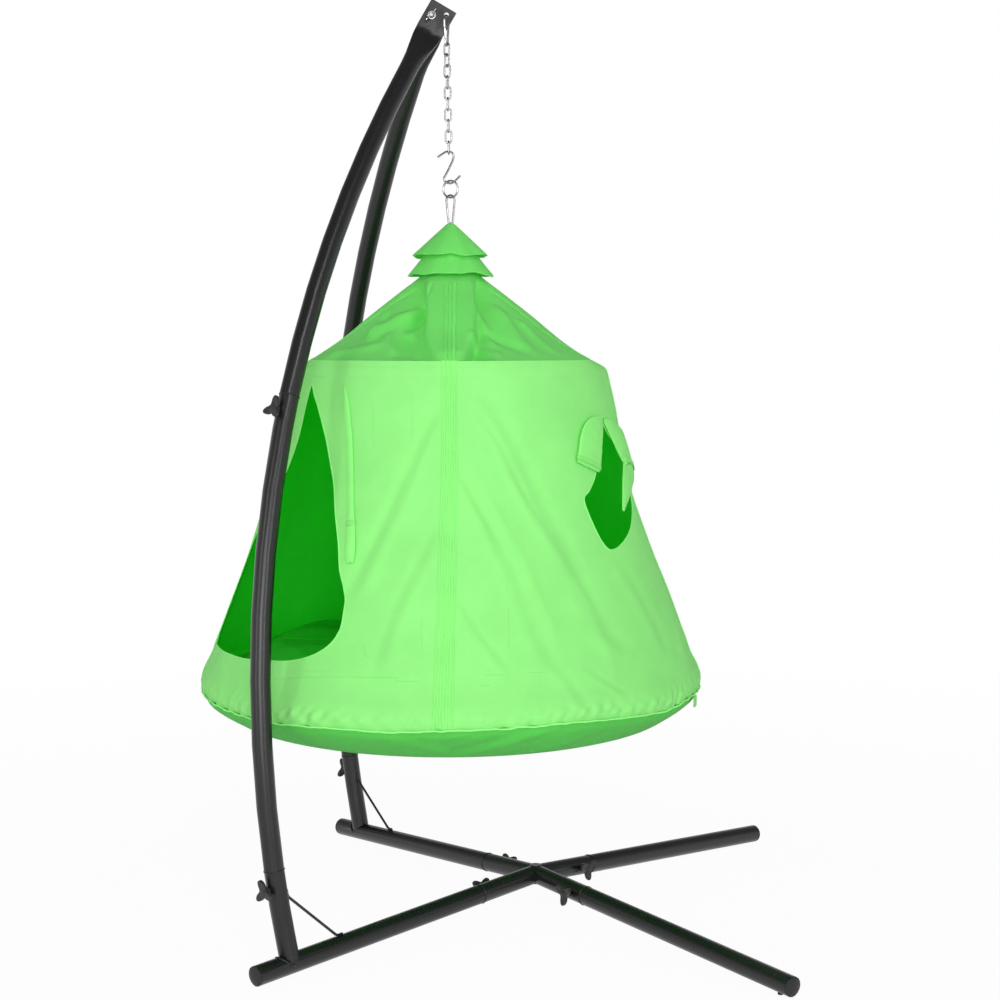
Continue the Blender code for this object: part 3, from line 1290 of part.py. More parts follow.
def report(places, tent, move):
    """Print the places that the joints and the openings hang on."""
    tell("moved by", move)
    tell("hook_swing", HOLE + move)
    for label, yaw in (("upper_snap", UPPER_SNAP_YAW), ("lower_snap", LOWER_SNAP_YAW)):
        pivot = place([(gate_side(-GATE_FROM), -GATE_FROM)], yaw, places[label])[0]
        tell(label + " gate", pivot + move, np.cross(vec(0, 0, 1), turn(yaw)))
        tell(label + " origin", places[label] + move)
    tell("first link", places["links"][0] + move)
    tell("s hook", places["s_hook"] + move)
    tell("ring", places["ring"] + move)
    tell("tent floor", tent.point(0.0, 0.0, 0.0) + move)
    for name, centre, outward, _ in knob_places():
        tell(name, centre + TUBE_R * outward + move, outward)
    tell("wing_nut", plate_point(BOLT_ALONG, BOLT_ACROSS) + move)
    glide = leg_path(1, -1).at(glide_place())
    tell("glide", vec(glide[0], glide[1], 0.0) + move)


def main():
    for old in list(bpy.data.objects):
        bpy.data.objects.remove(old)
    build_stand()
    for name, centre, outward, first_lobe in knob_places():
        build_knob(name, centre, outward, first_lobe)
    build_wing_nut()
    places = hanging_chain()
    build_hanging_gear(places)
    tent = build_tent(places)
    move = centre_part()
    report(places, tent, move)


main()
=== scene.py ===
# %% [markdown]
# # A hanging tent on its stand
# The real thing is a cloth tent that hangs by a chain from two bent arms on a flat cross of tubes. Its
# hard pieces come from a CAD part, each at its true size and place. They could be drawn again in
# Blender, but then they would no longer fit their joints, so they only get a finish here. What a CAD
# solid can't show is made anew: cloth with its folds, tapes, stitches and a puffed cushion. Each new
# piece, except the chain's links, rides on one body of the part and moves with it. Units are metres, +Z
# is up and the floor is at z = 0.
# %% Frame
import json
import math

import bpy
import numpy as np
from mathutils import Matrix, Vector
from mathutils.geometry import delaunay_2d_cdt


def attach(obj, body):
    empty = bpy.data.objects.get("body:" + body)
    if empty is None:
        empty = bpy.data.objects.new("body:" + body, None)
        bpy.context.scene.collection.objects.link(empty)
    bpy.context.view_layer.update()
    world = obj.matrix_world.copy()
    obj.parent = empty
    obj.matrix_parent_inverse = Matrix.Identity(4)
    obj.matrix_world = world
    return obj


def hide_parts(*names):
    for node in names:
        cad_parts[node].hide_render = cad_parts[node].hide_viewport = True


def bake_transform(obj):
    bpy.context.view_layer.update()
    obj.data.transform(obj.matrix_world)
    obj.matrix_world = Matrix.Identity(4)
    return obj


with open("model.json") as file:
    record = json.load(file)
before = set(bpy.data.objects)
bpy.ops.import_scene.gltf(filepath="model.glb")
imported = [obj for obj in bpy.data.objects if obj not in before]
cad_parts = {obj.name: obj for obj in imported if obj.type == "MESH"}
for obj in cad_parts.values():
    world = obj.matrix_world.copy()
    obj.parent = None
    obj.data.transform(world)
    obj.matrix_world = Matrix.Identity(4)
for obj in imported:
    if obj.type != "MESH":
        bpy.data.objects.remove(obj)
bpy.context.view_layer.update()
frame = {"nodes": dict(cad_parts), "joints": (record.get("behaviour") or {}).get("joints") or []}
nodes = frame["nodes"]
scene = bpy.context.scene

# %% [markdown]
# ## Camera
# The photograph was taken from a little over the tent's eave, looking slightly down and a little to the
# left. A camera can be placed by eye, but then every later comparison is off by some pixels. Here its
# place, turn and lens were fitted to the lines of the base and of the two arms in the photograph,
# together with the size of the stand.
# %% Camera
LENS_MM = 68.95
LOOKS_DOWN, TURNED_LEFT = 4.98, 3.782
camera_data = bpy.data.cameras.new("camera")
camera_data.lens = LENS_MM
camera_data.sensor_width = 36.0
camera_data.clip_end = 200.0
camera = bpy.data.objects.new("camera", camera_data)
camera.location = (0.29144, -4.0981, 1.2475)
camera.rotation_euler = (math.radians(90 - LOOKS_DOWN), 0, math.radians(TURNED_LEFT))
scene.collection.objects.link(camera)
scene.camera = camera
print("camera at", tuple(round(v, 3) for v in camera.location), "with a lens of", LENS_MM, "mm")

# %% [markdown]
# ## Smooth curves
# The outline of a door, the bow of a link and the side view of the tent are all smooth lines through a
# few points. Blender's own curve objects could hold them, but the points are needed as numbers, to be
# bent round the tent. So a small function draws the curve, and another sets points along it at even
# distances.
# %% Curves


def unit(v):
    """The same direction, or directions, with a length of 1."""
    v = np.asarray(v, float)
    return v / np.linalg.norm(v, axis=-1, keepdims=True)


def full_turn(count):
    """Angles of a full turn, in radians."""
    return np.arange(count) * 2 * math.pi / count


def smooth_curve(points, count, closed=False):
    """count points on a smooth curve through the given points, of any dimension."""
    p = np.array(points, float)
    if closed:
        p = np.vstack([p[-2:], p, p[:3]])
    t = np.concatenate([[0.0], np.cumsum(np.linalg.norm(np.diff(p, axis=0), axis=1) ** 0.5)])
    m = np.gradient(p, t, axis=0)
    first, last = (t[2], t[-3]) if closed else (t[0], t[-1])
    s = np.linspace(first, last, count, endpoint=not closed)
    k = np.clip(np.searchsorted(t, s, side="right") - 1, 0, len(t) - 2)
    d = (t[k + 1] - t[k])[:, None]
    w = ((s - t[k]) / (t[k + 1] - t[k]))[:, None]
    return ((2 * w**3 - 3 * w**2 + 1) * p[k] + (w**3 - 2 * w**2 + w) * d * m[k]
            + (3 * w**2 - 2 * w**3) * p[k + 1] + (w**3 - w**2) * d * m[k + 1])


def lengths(points):
    """Running length along a line of points."""
    return np.concatenate([[0.0], np.cumsum(np.linalg.norm(np.diff(points, axis=0), axis=1))])


def even(points, spacing, closed=False):
    """The same line with points about this far apart."""
    line = np.vstack([points, points[:1]]) if closed else np.array(points, float)
    along = lengths(line)
    count = max(int(round(along[-1] / spacing)), 2)
    s = np.linspace(0, along[-1], count + 1)
    out = np.stack([np.interp(s, along, line[:, i]) for i in range(line.shape[1])], 1)
    return out[:-1] if closed else out


arch = smooth_curve([(0, 0), (1, 1), (2, 0)], 50)
print("a smooth arch through three points is", round(float(lengths(arch)[-1]), 3), "m long")

# %% [markdown]
# ## Meshes from points
# Blender keeps a surface as a list of points and a list of faces that name those points. Most pieces of
# the tent are sheets or tubes, whose points stand in rows and columns, so one function turns such a
# grid into faces. Modelling by hand with extrudes would give the same mesh, but here each point stays a
# number that a fold can move.
# %% Meshes


def add_mesh(name, points, faces, material, smooth=True, uv=None):
    """A mesh object from points and faces, with a flat layout in metres as its UV map if one is given."""
    mesh = bpy.data.meshes.new(name)
    corners = [tuple(int(i) for i in face) for face in faces]
    mesh.from_pydata([tuple(p) for p in np.asarray(points, float)], [], corners)
    mesh.materials.append(material)
    if smooth:
        mesh.shade_smooth()
    if uv is not None:
        layer = mesh.uv_layers.new(name="cloth")
        corner = np.zeros(len(mesh.loops), np.int32)
        mesh.loops.foreach_get("vertex_index", corner)
        layer.data.foreach_set("uv", np.asarray(uv, np.float32)[corner].ravel())
    mesh.update()
    made = bpy.data.objects.new(name, mesh)
    scene.collection.objects.link(made)
    return made


def grid_faces(rows, columns, closed=False, loop=False):
    """Quads of a grid: closed joins the last column to the first, loop the last row to the first."""
    i, j = np.meshgrid(np.arange(rows if loop else rows - 1),
                       np.arange(columns if closed else columns - 1), indexing="ij")
    i1, j1 = (i + 1) % rows, (j + 1) % columns
    quads = [i * columns + j, i * columns + j1, i1 * columns + j1, i1 * columns + j]
    return np.stack(quads, -1).reshape(-1, 4)


def add_grid(name, grid, material, closed=False, loop=False, caps=False, smooth=True, uv=None,
             flip=False):
    """A mesh from a grid of points, rows by columns."""
    grid = np.asarray(grid, float)
    rows, columns = grid.shape[:2]
    faces = grid_faces(rows, columns, closed, loop)
    if flip:
        faces = faces[:, ::-1]
    faces = [tuple(f) for f in faces]
    if caps:
        first, last = list(range(columns)), [(rows - 1) * columns + j for j in range(columns)]
        faces += [tuple(first if flip else first[::-1]), tuple(last[::-1] if flip else last)]
    return add_mesh(name, grid.reshape(-1, 3), faces, material, smooth, uv)


print("a closed grid of 4 by 6 points has", len(grid_faces(4, 6, closed=True)), "faces")

# %% [markdown]
# ## Tubes along a line
# Chain links, weld beads, piping and stitches are all a small round drawn along a line. A curve with a
# bevel could do that, but it turns its round freely. Here the round keeps one side towards a chosen
# direction, so a stitch can be flattened against the cloth, and its radius may change along the line.
# %% Tubes


def line_frames(line, up):
    """Two directions across a line at each of its points, the first as near to up as it can be."""
    tangent = unit(np.gradient(line, axis=0))
    ups = np.broadcast_to(np.asarray(up, float), line.shape)
    first = unit(ups - (ups * tangent).sum(1)[:, None] * tangent)
    return first, np.cross(tangent, first)


def tube(name, line, radius, material, sides=12, up=(0, 0, 1), flat=1.0, closed=False):
    """A tube along a line. radius may vary along it, and flat is its height over its width."""
    line = np.asarray(line, float)
    if closed:
        wide = np.vstack([line[-1:], line, line[:1]])
        ups = np.asarray(up, float)
        if ups.ndim == 2:
            ups = np.vstack([ups[-1:], ups, ups[:1]])
        first, second = (v[1:-1] for v in line_frames(wide, ups))
    else:
        first, second = line_frames(line, up)
    radius = np.broadcast_to(np.asarray(radius, float), (len(line),))
    a = full_turn(sides)
    grid = (line[:, None] + (radius[:, None] * flat * np.sin(a))[..., None] * first[:, None]
            + (radius[:, None] * np.cos(a))[..., None] * second[:, None])
    return add_grid(name, grid, material, closed=True, loop=closed, caps=not closed, flip=True)


level_line = np.array([(0, 0, 0), (1.0, 0, 0)])
print("across a level line, the first way is", line_frames(level_line, (0, 0, 1))[0][0])

# %% [markdown]
# ## Riding on the part
# Each new piece except the chain's links belongs to one body of the part, such as the stand or the
# tent, and moves with it when a joint turns. So one small helper says all of that for each of them.
# %% Riding


def dress(o, body, replaced=None):
    """Lets a piece ride on a body. It may take the place of a CAD solid."""
    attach(o, body)
    if replaced:
        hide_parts(replaced)
    return o


# %% [markdown]
# ## Materials from nodes
# A photograph of cloth wrapped round the tent would stretch at the folds and hold one fixed light. Node
# materials are worked out at every point instead: noise makes a tone cloudy, a ramp turns that noise
# into colour, and a bump node turns it into fine relief. These helpers keep each recipe down to a few
# lines.
# %% Material tools


def node_maker(tree):
    """A function that adds a node to a node tree: its kind, its inputs and its options."""
    def node(kind, inputs=None, **options):
        made = tree.nodes.new(kind)
        for key, value in options.items():
            setattr(made, key, value)
        for key, value in (inputs or {}).items():
            if isinstance(value, bpy.types.NodeSocket):
                tree.links.new(value, made.inputs[key])
            else:
                made.inputs[key].default_value = value
        return made
    return node


def new_material(name):
    """A material with its Principled shader, and the helper that adds nodes to it."""
    material = bpy.data.materials.new(name)
    material.use_nodes = True
    tree = material.node_tree
    return material, tree, tree.nodes["Principled BSDF"], node_maker(tree)


def ramp(node, factor, stops):
    """A colour ramp over factor. Each stop is (position, colour)."""
    made = node("ShaderNodeValToRGB", {"Fac": factor})
    elements = made.color_ramp.elements
    while len(elements) < len(stops):
        elements.new(0.5)
    for element, (position, colour) in zip(elements, stops):
        element.position = position
        element.color = (*colour, 1.0)
    return made.outputs["Color"]


def scaled(colour, factor):
    """A colour made lighter or darker."""
    return tuple(min(c * factor, 1.0) for c in colour)


print("a green made 5 % darker is", tuple(round(c, 3) for c in scaled((0.345, 0.96, 0.265), 0.95)))

# %% [markdown]
# ## Green cloth
# The tent is sewn from thin woven cloth. Two bands of waves, one along and one across, make its
# threads, and the bump they give is so fine that it only softens the gloss. A part of the light goes
# through: without that translucent share the inside would stay dark. The inside looks much deeper green
# in the photograph than the outside because it lies in shade, so a lining just inside paints that shade
# with a deep green. The two hoops run inside the cloth, so they take the lining's painted shade too.
# %% Cloth
ONE_BAND_PER_METRE = 0.31416  # the scale at which a wave texture draws one band in a metre
ROUGH_SPREAD = 0.06


def cloth_material(name, colour, through, share=0.3, weave=0.0009, rough=0.8, sheen=0.08, flat=True):
    """Woven cloth. colour is its own, through the colour of the light that comes through it."""
    material, tree, shader, node = new_material(name)
    place = node("ShaderNodeTexCoord")
    body = node("ShaderNodeTexNoise", {"Vector": place.outputs["Object"], "Scale": 9.0, "Detail": 5.0,
                                       "Roughness": 0.6})
    tint = ramp(node, body.outputs["Fac"], [(0.3, scaled(colour, 0.95)), (0.7, scaled(colour, 1.04))])
    tree.links.new(tint, shader.inputs["Base Color"])
    wave = {"Vector": place.outputs["UV" if flat else "Object"], "Scale": ONE_BAND_PER_METRE / weave,
            "Distortion": 0.6, "Detail": 1.0}
    warp, weft = (node("ShaderNodeTexWave", wave, wave_type="BANDS", bands_direction=way).outputs["Fac"]
                  for way in "XY")
    threads = node("ShaderNodeMath", {0: warp, 1: weft}, operation="MULTIPLY").outputs["Value"]
    grain = node("ShaderNodeTexNoise", {"Vector": place.outputs["Object"], "Scale": 160.0, "Detail": 3.0})
    relief = node("ShaderNodeMath", {0: grain.outputs["Fac"], 1: 1.2, 2: threads},
                  operation="MULTIPLY_ADD")
    bump = node("ShaderNodeBump", {"Height": relief.outputs["Value"], "Strength": 0.35,
                                   "Distance": 0.0004})
    tree.links.new(bump.outputs["Normal"], shader.inputs["Normal"])
    gloss = node("ShaderNodeMapRange", {"Value": body.outputs["Fac"],
                                        "To Min": rough - ROUGH_SPREAD, "To Max": rough + ROUGH_SPREAD})
    tree.links.new(gloss.outputs["Result"], shader.inputs["Roughness"])
    shader.inputs["Sheen Weight"].default_value = sheen
    shader.inputs["Sheen Roughness"].default_value = 0.5
    shader.inputs["Specular IOR Level"].default_value = 0.25
    if share:
        glow = node("ShaderNodeBsdfTranslucent", {"Color": (*through, 1.0),
                                                  "Normal": bump.outputs["Normal"]})
        mix = node("ShaderNodeMixShader", {"Fac": share, 1: shader.outputs["BSDF"],
                                           2: glow.outputs["BSDF"]})
        tree.links.new(mix.outputs["Shader"], tree.nodes["Material Output"].inputs["Surface"])
    return material


# The roof's green is the wall's green made darker. It is painted shade on the roof, its tapes and both caps,
# which face up and away from the lamps.
GREEN, SHADED_ROOF_GREEN, THROUGH = (0.345, 0.96, 0.265), (0.190, 0.80, 0.155), (0.03, 0.95, 0.03)
cloth = cloth_material("tent_cloth", GREEN, THROUGH)
roof_cloth = cloth_material("roof_cloth", SHADED_ROOF_GREEN, THROUGH, share=0.22)
# The band's darker green is painted shade, as the band faces down. The tent's floor is drawn in it too.
base_cloth = cloth_material("base_cloth", (0.105, 0.61, 0.090), THROUGH, share=0.2)
hem_cloth = cloth_material("hem_cloth", (0.34, 0.97, 0.27), THROUGH, share=0.2)
tape_cloth = cloth_material("seam_tape", scaled(GREEN, 0.955), THROUGH, weave=0.0012)
roof_tape = cloth_material("roof_tape", SHADED_ROOF_GREEN, THROUGH, share=0.22, weave=0.0012)
# A deep green that paints the shade inside the tent.
lining = cloth_material("lining", (0.055, 0.56, 0.058), (0.055, 1.0, 0.058), share=0.5)
webbing = cloth_material("webbing", (0.20, 0.70, 0.15), THROUGH, share=0.0, weave=0.0016, rough=0.7,
                         flat=False)
# The cushion's deep green is painted shade: it lies inside the tent.
cushion_cloth = cloth_material("cushion_cloth", (0.012, 0.46, 0.012), THROUGH, share=0.0, sheen=0.0,
                               flat=False)
thread = cloth_material("thread", (0.27, 0.82, 0.21), THROUGH, share=0.0, flat=False)
# The hoops take the lining's deep green, which is painted shade.
for hoop in ("eave_hoop", "base_hoop"):
    for slot in nodes[hoop].material_slots:
        slot.material = lining
print("cloth materials:", [m.name for m in (cloth, roof_cloth, base_cloth, lining, cushion_cloth)])

# %% [markdown]
# ## Powder coat, plastic and zinc
# The tubes are powder-coated in satin black, which has a fine orange peel. The plugs and hand screws
# are moulded plastic with a matt grain, and the hook, chain and bolt are plated with bright zinc. All
# three are one recipe: a wide noise clouds the tone, a fine noise gives the relief, and one of the two
# varies the gloss. A single flat black would be shorter, but no real tube shines alike all over.
# %% Hard materials


def hard_material(name, fine, cloud, tones, gloss, relief, gloss_from="cloud", specular=None,
                  metal=False):
    """A hard surface: two stops of a ramp, two values of roughness, and a relief's strength and depth."""
    material, tree, shader, node = new_material(name)
    place = node("ShaderNodeTexCoord").outputs["Object"]
    noise = {"fine": node("ShaderNodeTexNoise", {"Vector": place, **fine}).outputs["Fac"],
             "cloud": node("ShaderNodeTexNoise", {"Vector": place, **cloud}).outputs["Fac"]}
    tree.links.new(ramp(node, noise["cloud"], tones), shader.inputs["Base Color"])
    rough = node("ShaderNodeMapRange", {"Value": noise[gloss_from], "To Min": gloss[0],
                                        "To Max": gloss[1]})
    tree.links.new(rough.outputs["Result"], shader.inputs["Roughness"])
    bump = node("ShaderNodeBump", {"Height": noise["fine"], "Strength": relief[0], "Distance": relief[1]})
    tree.links.new(bump.outputs["Normal"], shader.inputs["Normal"])
    if metal:
        shader.inputs["Metallic"].default_value = 1.0
    if specular is not None:
        shader.inputs["Specular IOR Level"].default_value = specular
    return material


def grey_tones(dark, light):
    """The stops of a ramp between two greys."""
    return [(0.3, (dark,) * 3), (0.7, (light,) * 3)]


ORANGE_PEEL = {"Scale": 420.0, "Detail": 2.0}
BLACKS = [(0.25, (0.0065, 0.0065, 0.0072)), (0.75, (0.0095, 0.0095, 0.0102))]
powder = hard_material("powder_coat", ORANGE_PEEL, {"Scale": 14.0, "Detail": 6.0, "Roughness": 0.65},
                       BLACKS, (0.27, 0.33), (0.25, 0.0004), specular=0.42)
GRAIN, PATCHES = {"Scale": 600.0, "Detail": 3.0}, {"Scale": 40.0, "Detail": 4.0}
MATT_RELIEF = (0.2, 0.0003)
plug_plastic = hard_material("plug_plastic", GRAIN, PATCHES, grey_tones(0.012, 0.020), (0.45, 0.6),
                             MATT_RELIEF, specular=0.3)
knob_plastic = hard_material("knob_plastic", GRAIN, PATCHES, grey_tones(0.022, 0.034), (0.35, 0.5),
                             MATT_RELIEF, specular=0.3)
PLATING, BRIGHT = {"Scale": 900.0, "Detail": 2.0, "Distortion": 1.5}, 0.42
zinc = hard_material("zinc", PLATING, {"Scale": 120.0, "Detail": 6.0}, grey_tones(BRIGHT * 0.8, BRIGHT),
                     (0.16, 0.30), (0.08, 0.0002), gloss_from="fine", metal=True)

finish = {"frame_black": powder, "plug_black": plug_plastic, "knob_black": knob_plastic, "zinc": zinc}
painted = 0
for o in nodes.values():
    for slot in o.material_slots:
        if slot.material and slot.material.name in finish:
            slot.material = finish[slot.material.name]
            painted += 1
print("hard slots given a finish:", painted)

# %% [markdown]
# ## Soft edges on the hard pieces
# CAD edges are perfectly sharp, and a real pressed plate or tube end never is: its edge catches a thin
# line of light. Rounding each edge in CAD would cost many faces. A bevel modifier rounds them all at
# once. The weld before it joins points that lie on each other, the edge split keeps true corners crisp,
# and weighted normals keep the tubes smooth.
# %% Edges
EDGE_TUBE, EDGE_SMALL = 0.0010, 0.0003
SAME_POINT = 0.00002
ROUNDED_FROM, SPLIT_FROM = 45, 38  # degrees
hard_pieces = [o for o in nodes.values() if o.data.materials and o.data.materials[0] in finish.values()]
for o in hard_pieces:
    o.data.shade_smooth()
    weld = o.modifiers.new("weld", "WELD")
    weld.merge_threshold = SAME_POINT
    edge = o.modifiers.new("edges", "BEVEL")
    edge.width = EDGE_TUBE if o.data.materials[0] == powder else EDGE_SMALL
    edge.segments = 2
    edge.limit_method = "ANGLE"
    edge.angle_limit = math.radians(ROUNDED_FROM)
    split = o.modifiers.new("split", "EDGE_SPLIT")
    split.split_angle = math.radians(SPLIT_FROM)
    even_out = o.modifiers.new("even", "WEIGHTED_NORMAL")
    even_out.keep_sharp = True
print("pieces with rounded edges:", len(hard_pieces))

# %% [markdown]
# ## Sleeve mouths
# Where one tube goes into the next, the sleeve ends in a small swaged rim, which catches a little
# light. The CAD sleeve ends flat. A ring laid round each mouth shows the rim, and it costs far less
# than cutting a profile into the tube.
# %% Sleeve mouths
TUBE_R = 0.0200
RIM_LINE_R, RIM_R = 0.0199, 0.0013
# Centre of each mouth, and the direction of the tube there.
MOUTHS = [(-0.0141, -0.1241, 0.0590, -0.671, -0.739, -0.066),
          (-0.0141, 0.1241, 0.0590, -0.671, 0.739, -0.066),
          (0.2114, -0.1241, 0.0596, 0.671, -0.739, -0.062),
          (0.2114, 0.1241, 0.0590, 0.671, 0.739, -0.066),
          (-0.3835, -0.5081, 0.2132, -0.125, -0.017, 0.992),
          (-0.3687, -0.3751, 1.1251, 0.160, 0.303, 0.940),
          (-0.3835, 0.5081, 0.2132, -0.125, 0.017, 0.992),
          (-0.3687, 0.3751, 1.1251, 0.160, -0.303, 0.940)]


def circle(centre, first, second, radius, a):
    """Points at the angles a on a circle that lies in two directions."""
    return centre + radius * (np.outer(np.cos(a), first) + np.outer(np.sin(a), second))


for number, row in enumerate(MOUTHS):
    along = unit(row[3:])
    first = unit(np.cross(along, (0.0, 0.3, 1.0)))
    ring = circle(np.array(row[:3]), first, np.cross(along, first), RIM_LINE_R, full_turn(64))
    rim = tube(f"sleeve_rim_{number}", ring, RIM_R, powder, sides=10, closed=True)
    dress(rim, "stand")
print("sleeve rims:", len(MOUTHS))

# %% [markdown]
# ## Welds at the feet of the arms
# A bead of weld runs round each stub where it stands on its leg. A plain ring would float or sink,
# because two tubes that cross don't meet in a circle. So each point of the stub's outline slides along
# the stub until it lies on the leg's tube, and the bead follows that line. Its radius swells and
# shrinks a little, as a weld laid by hand does.
# %% Welds
BEAD_R, BEAD_RIPPLE, RIPPLES = 0.0022, 0.0004, 23
# For each bead, the mouth that gives the leg's line and the one that gives the stub's.
BEADS = {"weld_bead_0": (0, 4), "weld_bead_2": (1, 6)}
for name, (leg_mouth, stub_mouth) in BEADS.items():
    on_leg, leg_way = np.array(MOUTHS[leg_mouth][:3]), unit(MOUTHS[leg_mouth][3:])
    on_stub, stub_way = np.array(MOUTHS[stub_mouth][:3]), unit(MOUTHS[stub_mouth][3:])
    first = unit(np.cross(stub_way, leg_way))
    a = full_turn(90)
    start = circle(on_stub, first, np.cross(stub_way, first), TUBE_R, a) - on_leg
    # Across the leg, each point and the stub's direction give a line that is cut with the leg's circle.
    across = start - np.outer(start @ leg_way, leg_way)
    d = stub_way - (stub_way @ leg_way) * leg_way
    half = across @ d
    root = np.sqrt(np.maximum(half**2 - (d @ d) * ((across**2).sum(1) - TUBE_R**2), 0.0))
    meet = on_leg + start + np.outer((root - half) / (d @ d), stub_way)
    bead = tube(name, meet, BEAD_R + BEAD_RIPPLE * np.sin(RIPPLES * a), powder, sides=10, closed=True)
    dress(bead, "stand")
    print(name, "is", round(float(lengths(meet)[-1]), 3), "m long")

# %% [markdown]
# ## Hand screws
# Eight moulded hand screws clamp the tubes. Each has three slim lobes with hollow flanks on a round
# collar. It could be cut from a cylinder with booleans, which leaves ragged faces. Here rings are
# stacked along the axis: each ring is a circle near the collar and turns into the three-lobed outline
# further out. The rings are built on the joint's own axis, so the screw turns true.
# %% Hand screws
KNOB_REACH = 0.0255
# Rings of a hand screw: distance along the axis, radius, share of the lobes, and how far the lobes lean out.
KNOB_ROWS = [(-0.0070, 0.0036, 0, 0), (0.0002, 0.0036, 0, 0), (0.0003, 0.0074, 0, 0),
             (0.0006, 0.0080, 0, 0), (0.0050, 0.0080, 0, 0), (0.0062, 0.0086, 0.1, 0.001),
             (0.0065, 0.0205, 0.9, 0.003), (0.0066, 0.0236, 1, 0.0035), (0.0074, 0.0250, 1, 0.0035),
             (0.0090, 0.0256, 1, 0.0035), (0.0128, 0.0256, 1, 0.0035), (0.0143, 0.0249, 1, 0.0035),
             (0.0150, 0.0235, 1, 0.0035), (0.0147, 0.0190, 1, 0.0030), (0.0150, 0.0100, 0.8, 0.002),
             (0.0160, 0.0066, 0.2, 0), (0.0163, 0.0030, 0, 0)]


def lobes(a):
    """Outline of a hand screw: three slim lobes with hollow flanks."""
    return 0.40 + 0.60 * (0.5 + 0.5 * np.cos(3 * a)) ** 1.7


def hand_screw(name, place, axis, first):
    """Rings round an axis, with the first lobe towards a direction."""
    axis = unit(axis)
    first = unit(np.array(first, float) - (first @ axis) * axis)
    second = np.cross(axis, first)
    a = full_turn(72)
    grid = []
    for distance, radius, lobed, lean in KNOB_ROWS:
        r = radius * ((1 - lobed) + lobed * lobes(a))
        out = distance + lean * (r / KNOB_REACH) ** 2
        grid.append(place + np.outer(np.cos(a) * r, first) + np.outer(np.sin(a) * r, second)
                    + np.outer(out, axis))
    return add_grid(name, np.array(grid), knob_plastic, closed=True, caps=True, flip=True)


# Where the first lobe of each kind points, as the photograph shows it.
FIRST_LOBE = {"leg": (0.0, 0.0, -1.0), "high": (0.2, 0.0, 1.0), "low": (-0.35, 0.0, 1.0)}
screws = [joint for joint in frame["joints"] if joint["name"].startswith("knob_")]
for joint in screws:
    knob = joint["child"]
    first = np.array(next(way for word, way in FIRST_LOBE.items() if word in knob))
    made = hand_screw(knob + "_star", np.array(joint["pos_m"], float), joint["axis"], first)
    dress(made, knob, knob)
print("hand screws:", len(screws))

# %% [markdown]
# ## Chain
# Ten welded links hang between the hook and the S-hook. Each is a wire bent to a long ring, with a
# small swell where its ends were welded. One link copied with an array would be quicker, but real links
# hang at uneven turns, so each gets its own. The links are fixed in place and ride on no body.
# %% Chain
FIRST_LINK = np.array((-0.09207, -0.00012, 1.85803))
LAST_LINK = np.array((-0.08831, -0.00118, 1.65273))
LINK_YAWS = (-32, 56, -14, 82, 0, 88, 2, 86, 4, 90)
LINK_HALF, LINK_LENGTH, WIRE_R = 0.0063, 0.0268, 0.00195
SWELL, SWELL_LENGTH = 0.00019, 0.0012
UPWARDS = np.array((0.0, 0.0, 1.0))
bow = np.radians(np.arange(0, 181, 15))
upper = np.stack([LINK_HALF * np.cos(bow), -LINK_HALF + LINK_HALF * np.sin(bow)], 1)
lower = np.stack([-LINK_HALF * np.cos(bow), -LINK_LENGTH + LINK_HALF - LINK_HALF * np.sin(bow)], 1)
link_line = even(np.vstack([upper, lower]), 0.0015, closed=True)
from_weld = (link_line[:, 1] + LINK_LENGTH / 2) / SWELL_LENGTH
weld_swell = SWELL * np.exp(-(from_weld**2)) * (link_line[:, 0] > 0)
for k, yaw in enumerate(np.radians(LINK_YAWS)):
    top = FIRST_LINK + (LAST_LINK - FIRST_LINK) * k / (len(LINK_YAWS) - 1)
    across = np.array((math.cos(yaw), math.sin(yaw), 0.0))
    line = top + link_line[:, :1] * across + link_line[:, 1:] * UPWARDS
    link = tube(f"chain_link_{k}", line, WIRE_R + weld_swell, zinc, sides=14,
                up=np.cross(across, UPWARDS), closed=True)
    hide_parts("chain")
    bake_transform(link)
print("links:", len(LINK_YAWS), "each of", round(float(lengths(link_line)[-1]) * 1000), "mm of wire")

# %% [markdown]
# ## The tent's form
# Seen from the side, the roof, the wall and the base band are three smooth lines. Turned round the
# tent's axis they give its whole form, like a pot on a wheel. Blender's screw modifier can do that, but
# the folds, tapes and stitches have to lie on the very same surface. So each line becomes a profile
# that can be asked for its radius, height and outward direction. A place on the tent is then an angle,
# from the camera's side towards the right, and a height.
# %% Profile
AXIS_X = -0.08487
FLOOR = 0.42001
EAVE_R, EAVE_H = 0.2935, 0.7727
ROOF_PROFILE = [(0.0140, 0.9935), (0.0700, 0.9435), (0.1050, 0.9170), (0.1730, 0.8640),
                (0.2400, 0.8090), (EAVE_R, 0.7729)]
WALL_PROFILE = [(EAVE_R, EAVE_H), (0.3130, 0.7625), (0.3265, 0.7548), (0.3322, 0.7490),
                (0.3345, 0.7420), (0.3380, 0.7280), (0.3530, 0.6600), (0.3670, 0.5800),
                (0.3890, 0.4910), (0.4120, 0.4220), (0.4370, 0.3500), (0.4680, 0.2700),
                (0.4960, 0.1950), (0.5160, 0.1420), (0.5300, 0.1160), (0.5370, 0.0960),
                (0.5368, 0.0830), (0.5335, 0.0745)]
BAND_PROFILE = [(0.5335, 0.0735), (0.5270, 0.0590), (0.5109, 0.0440), (0.4870, 0.0272),
                (0.4600, 0.0110), (0.4300, 0.0015)]


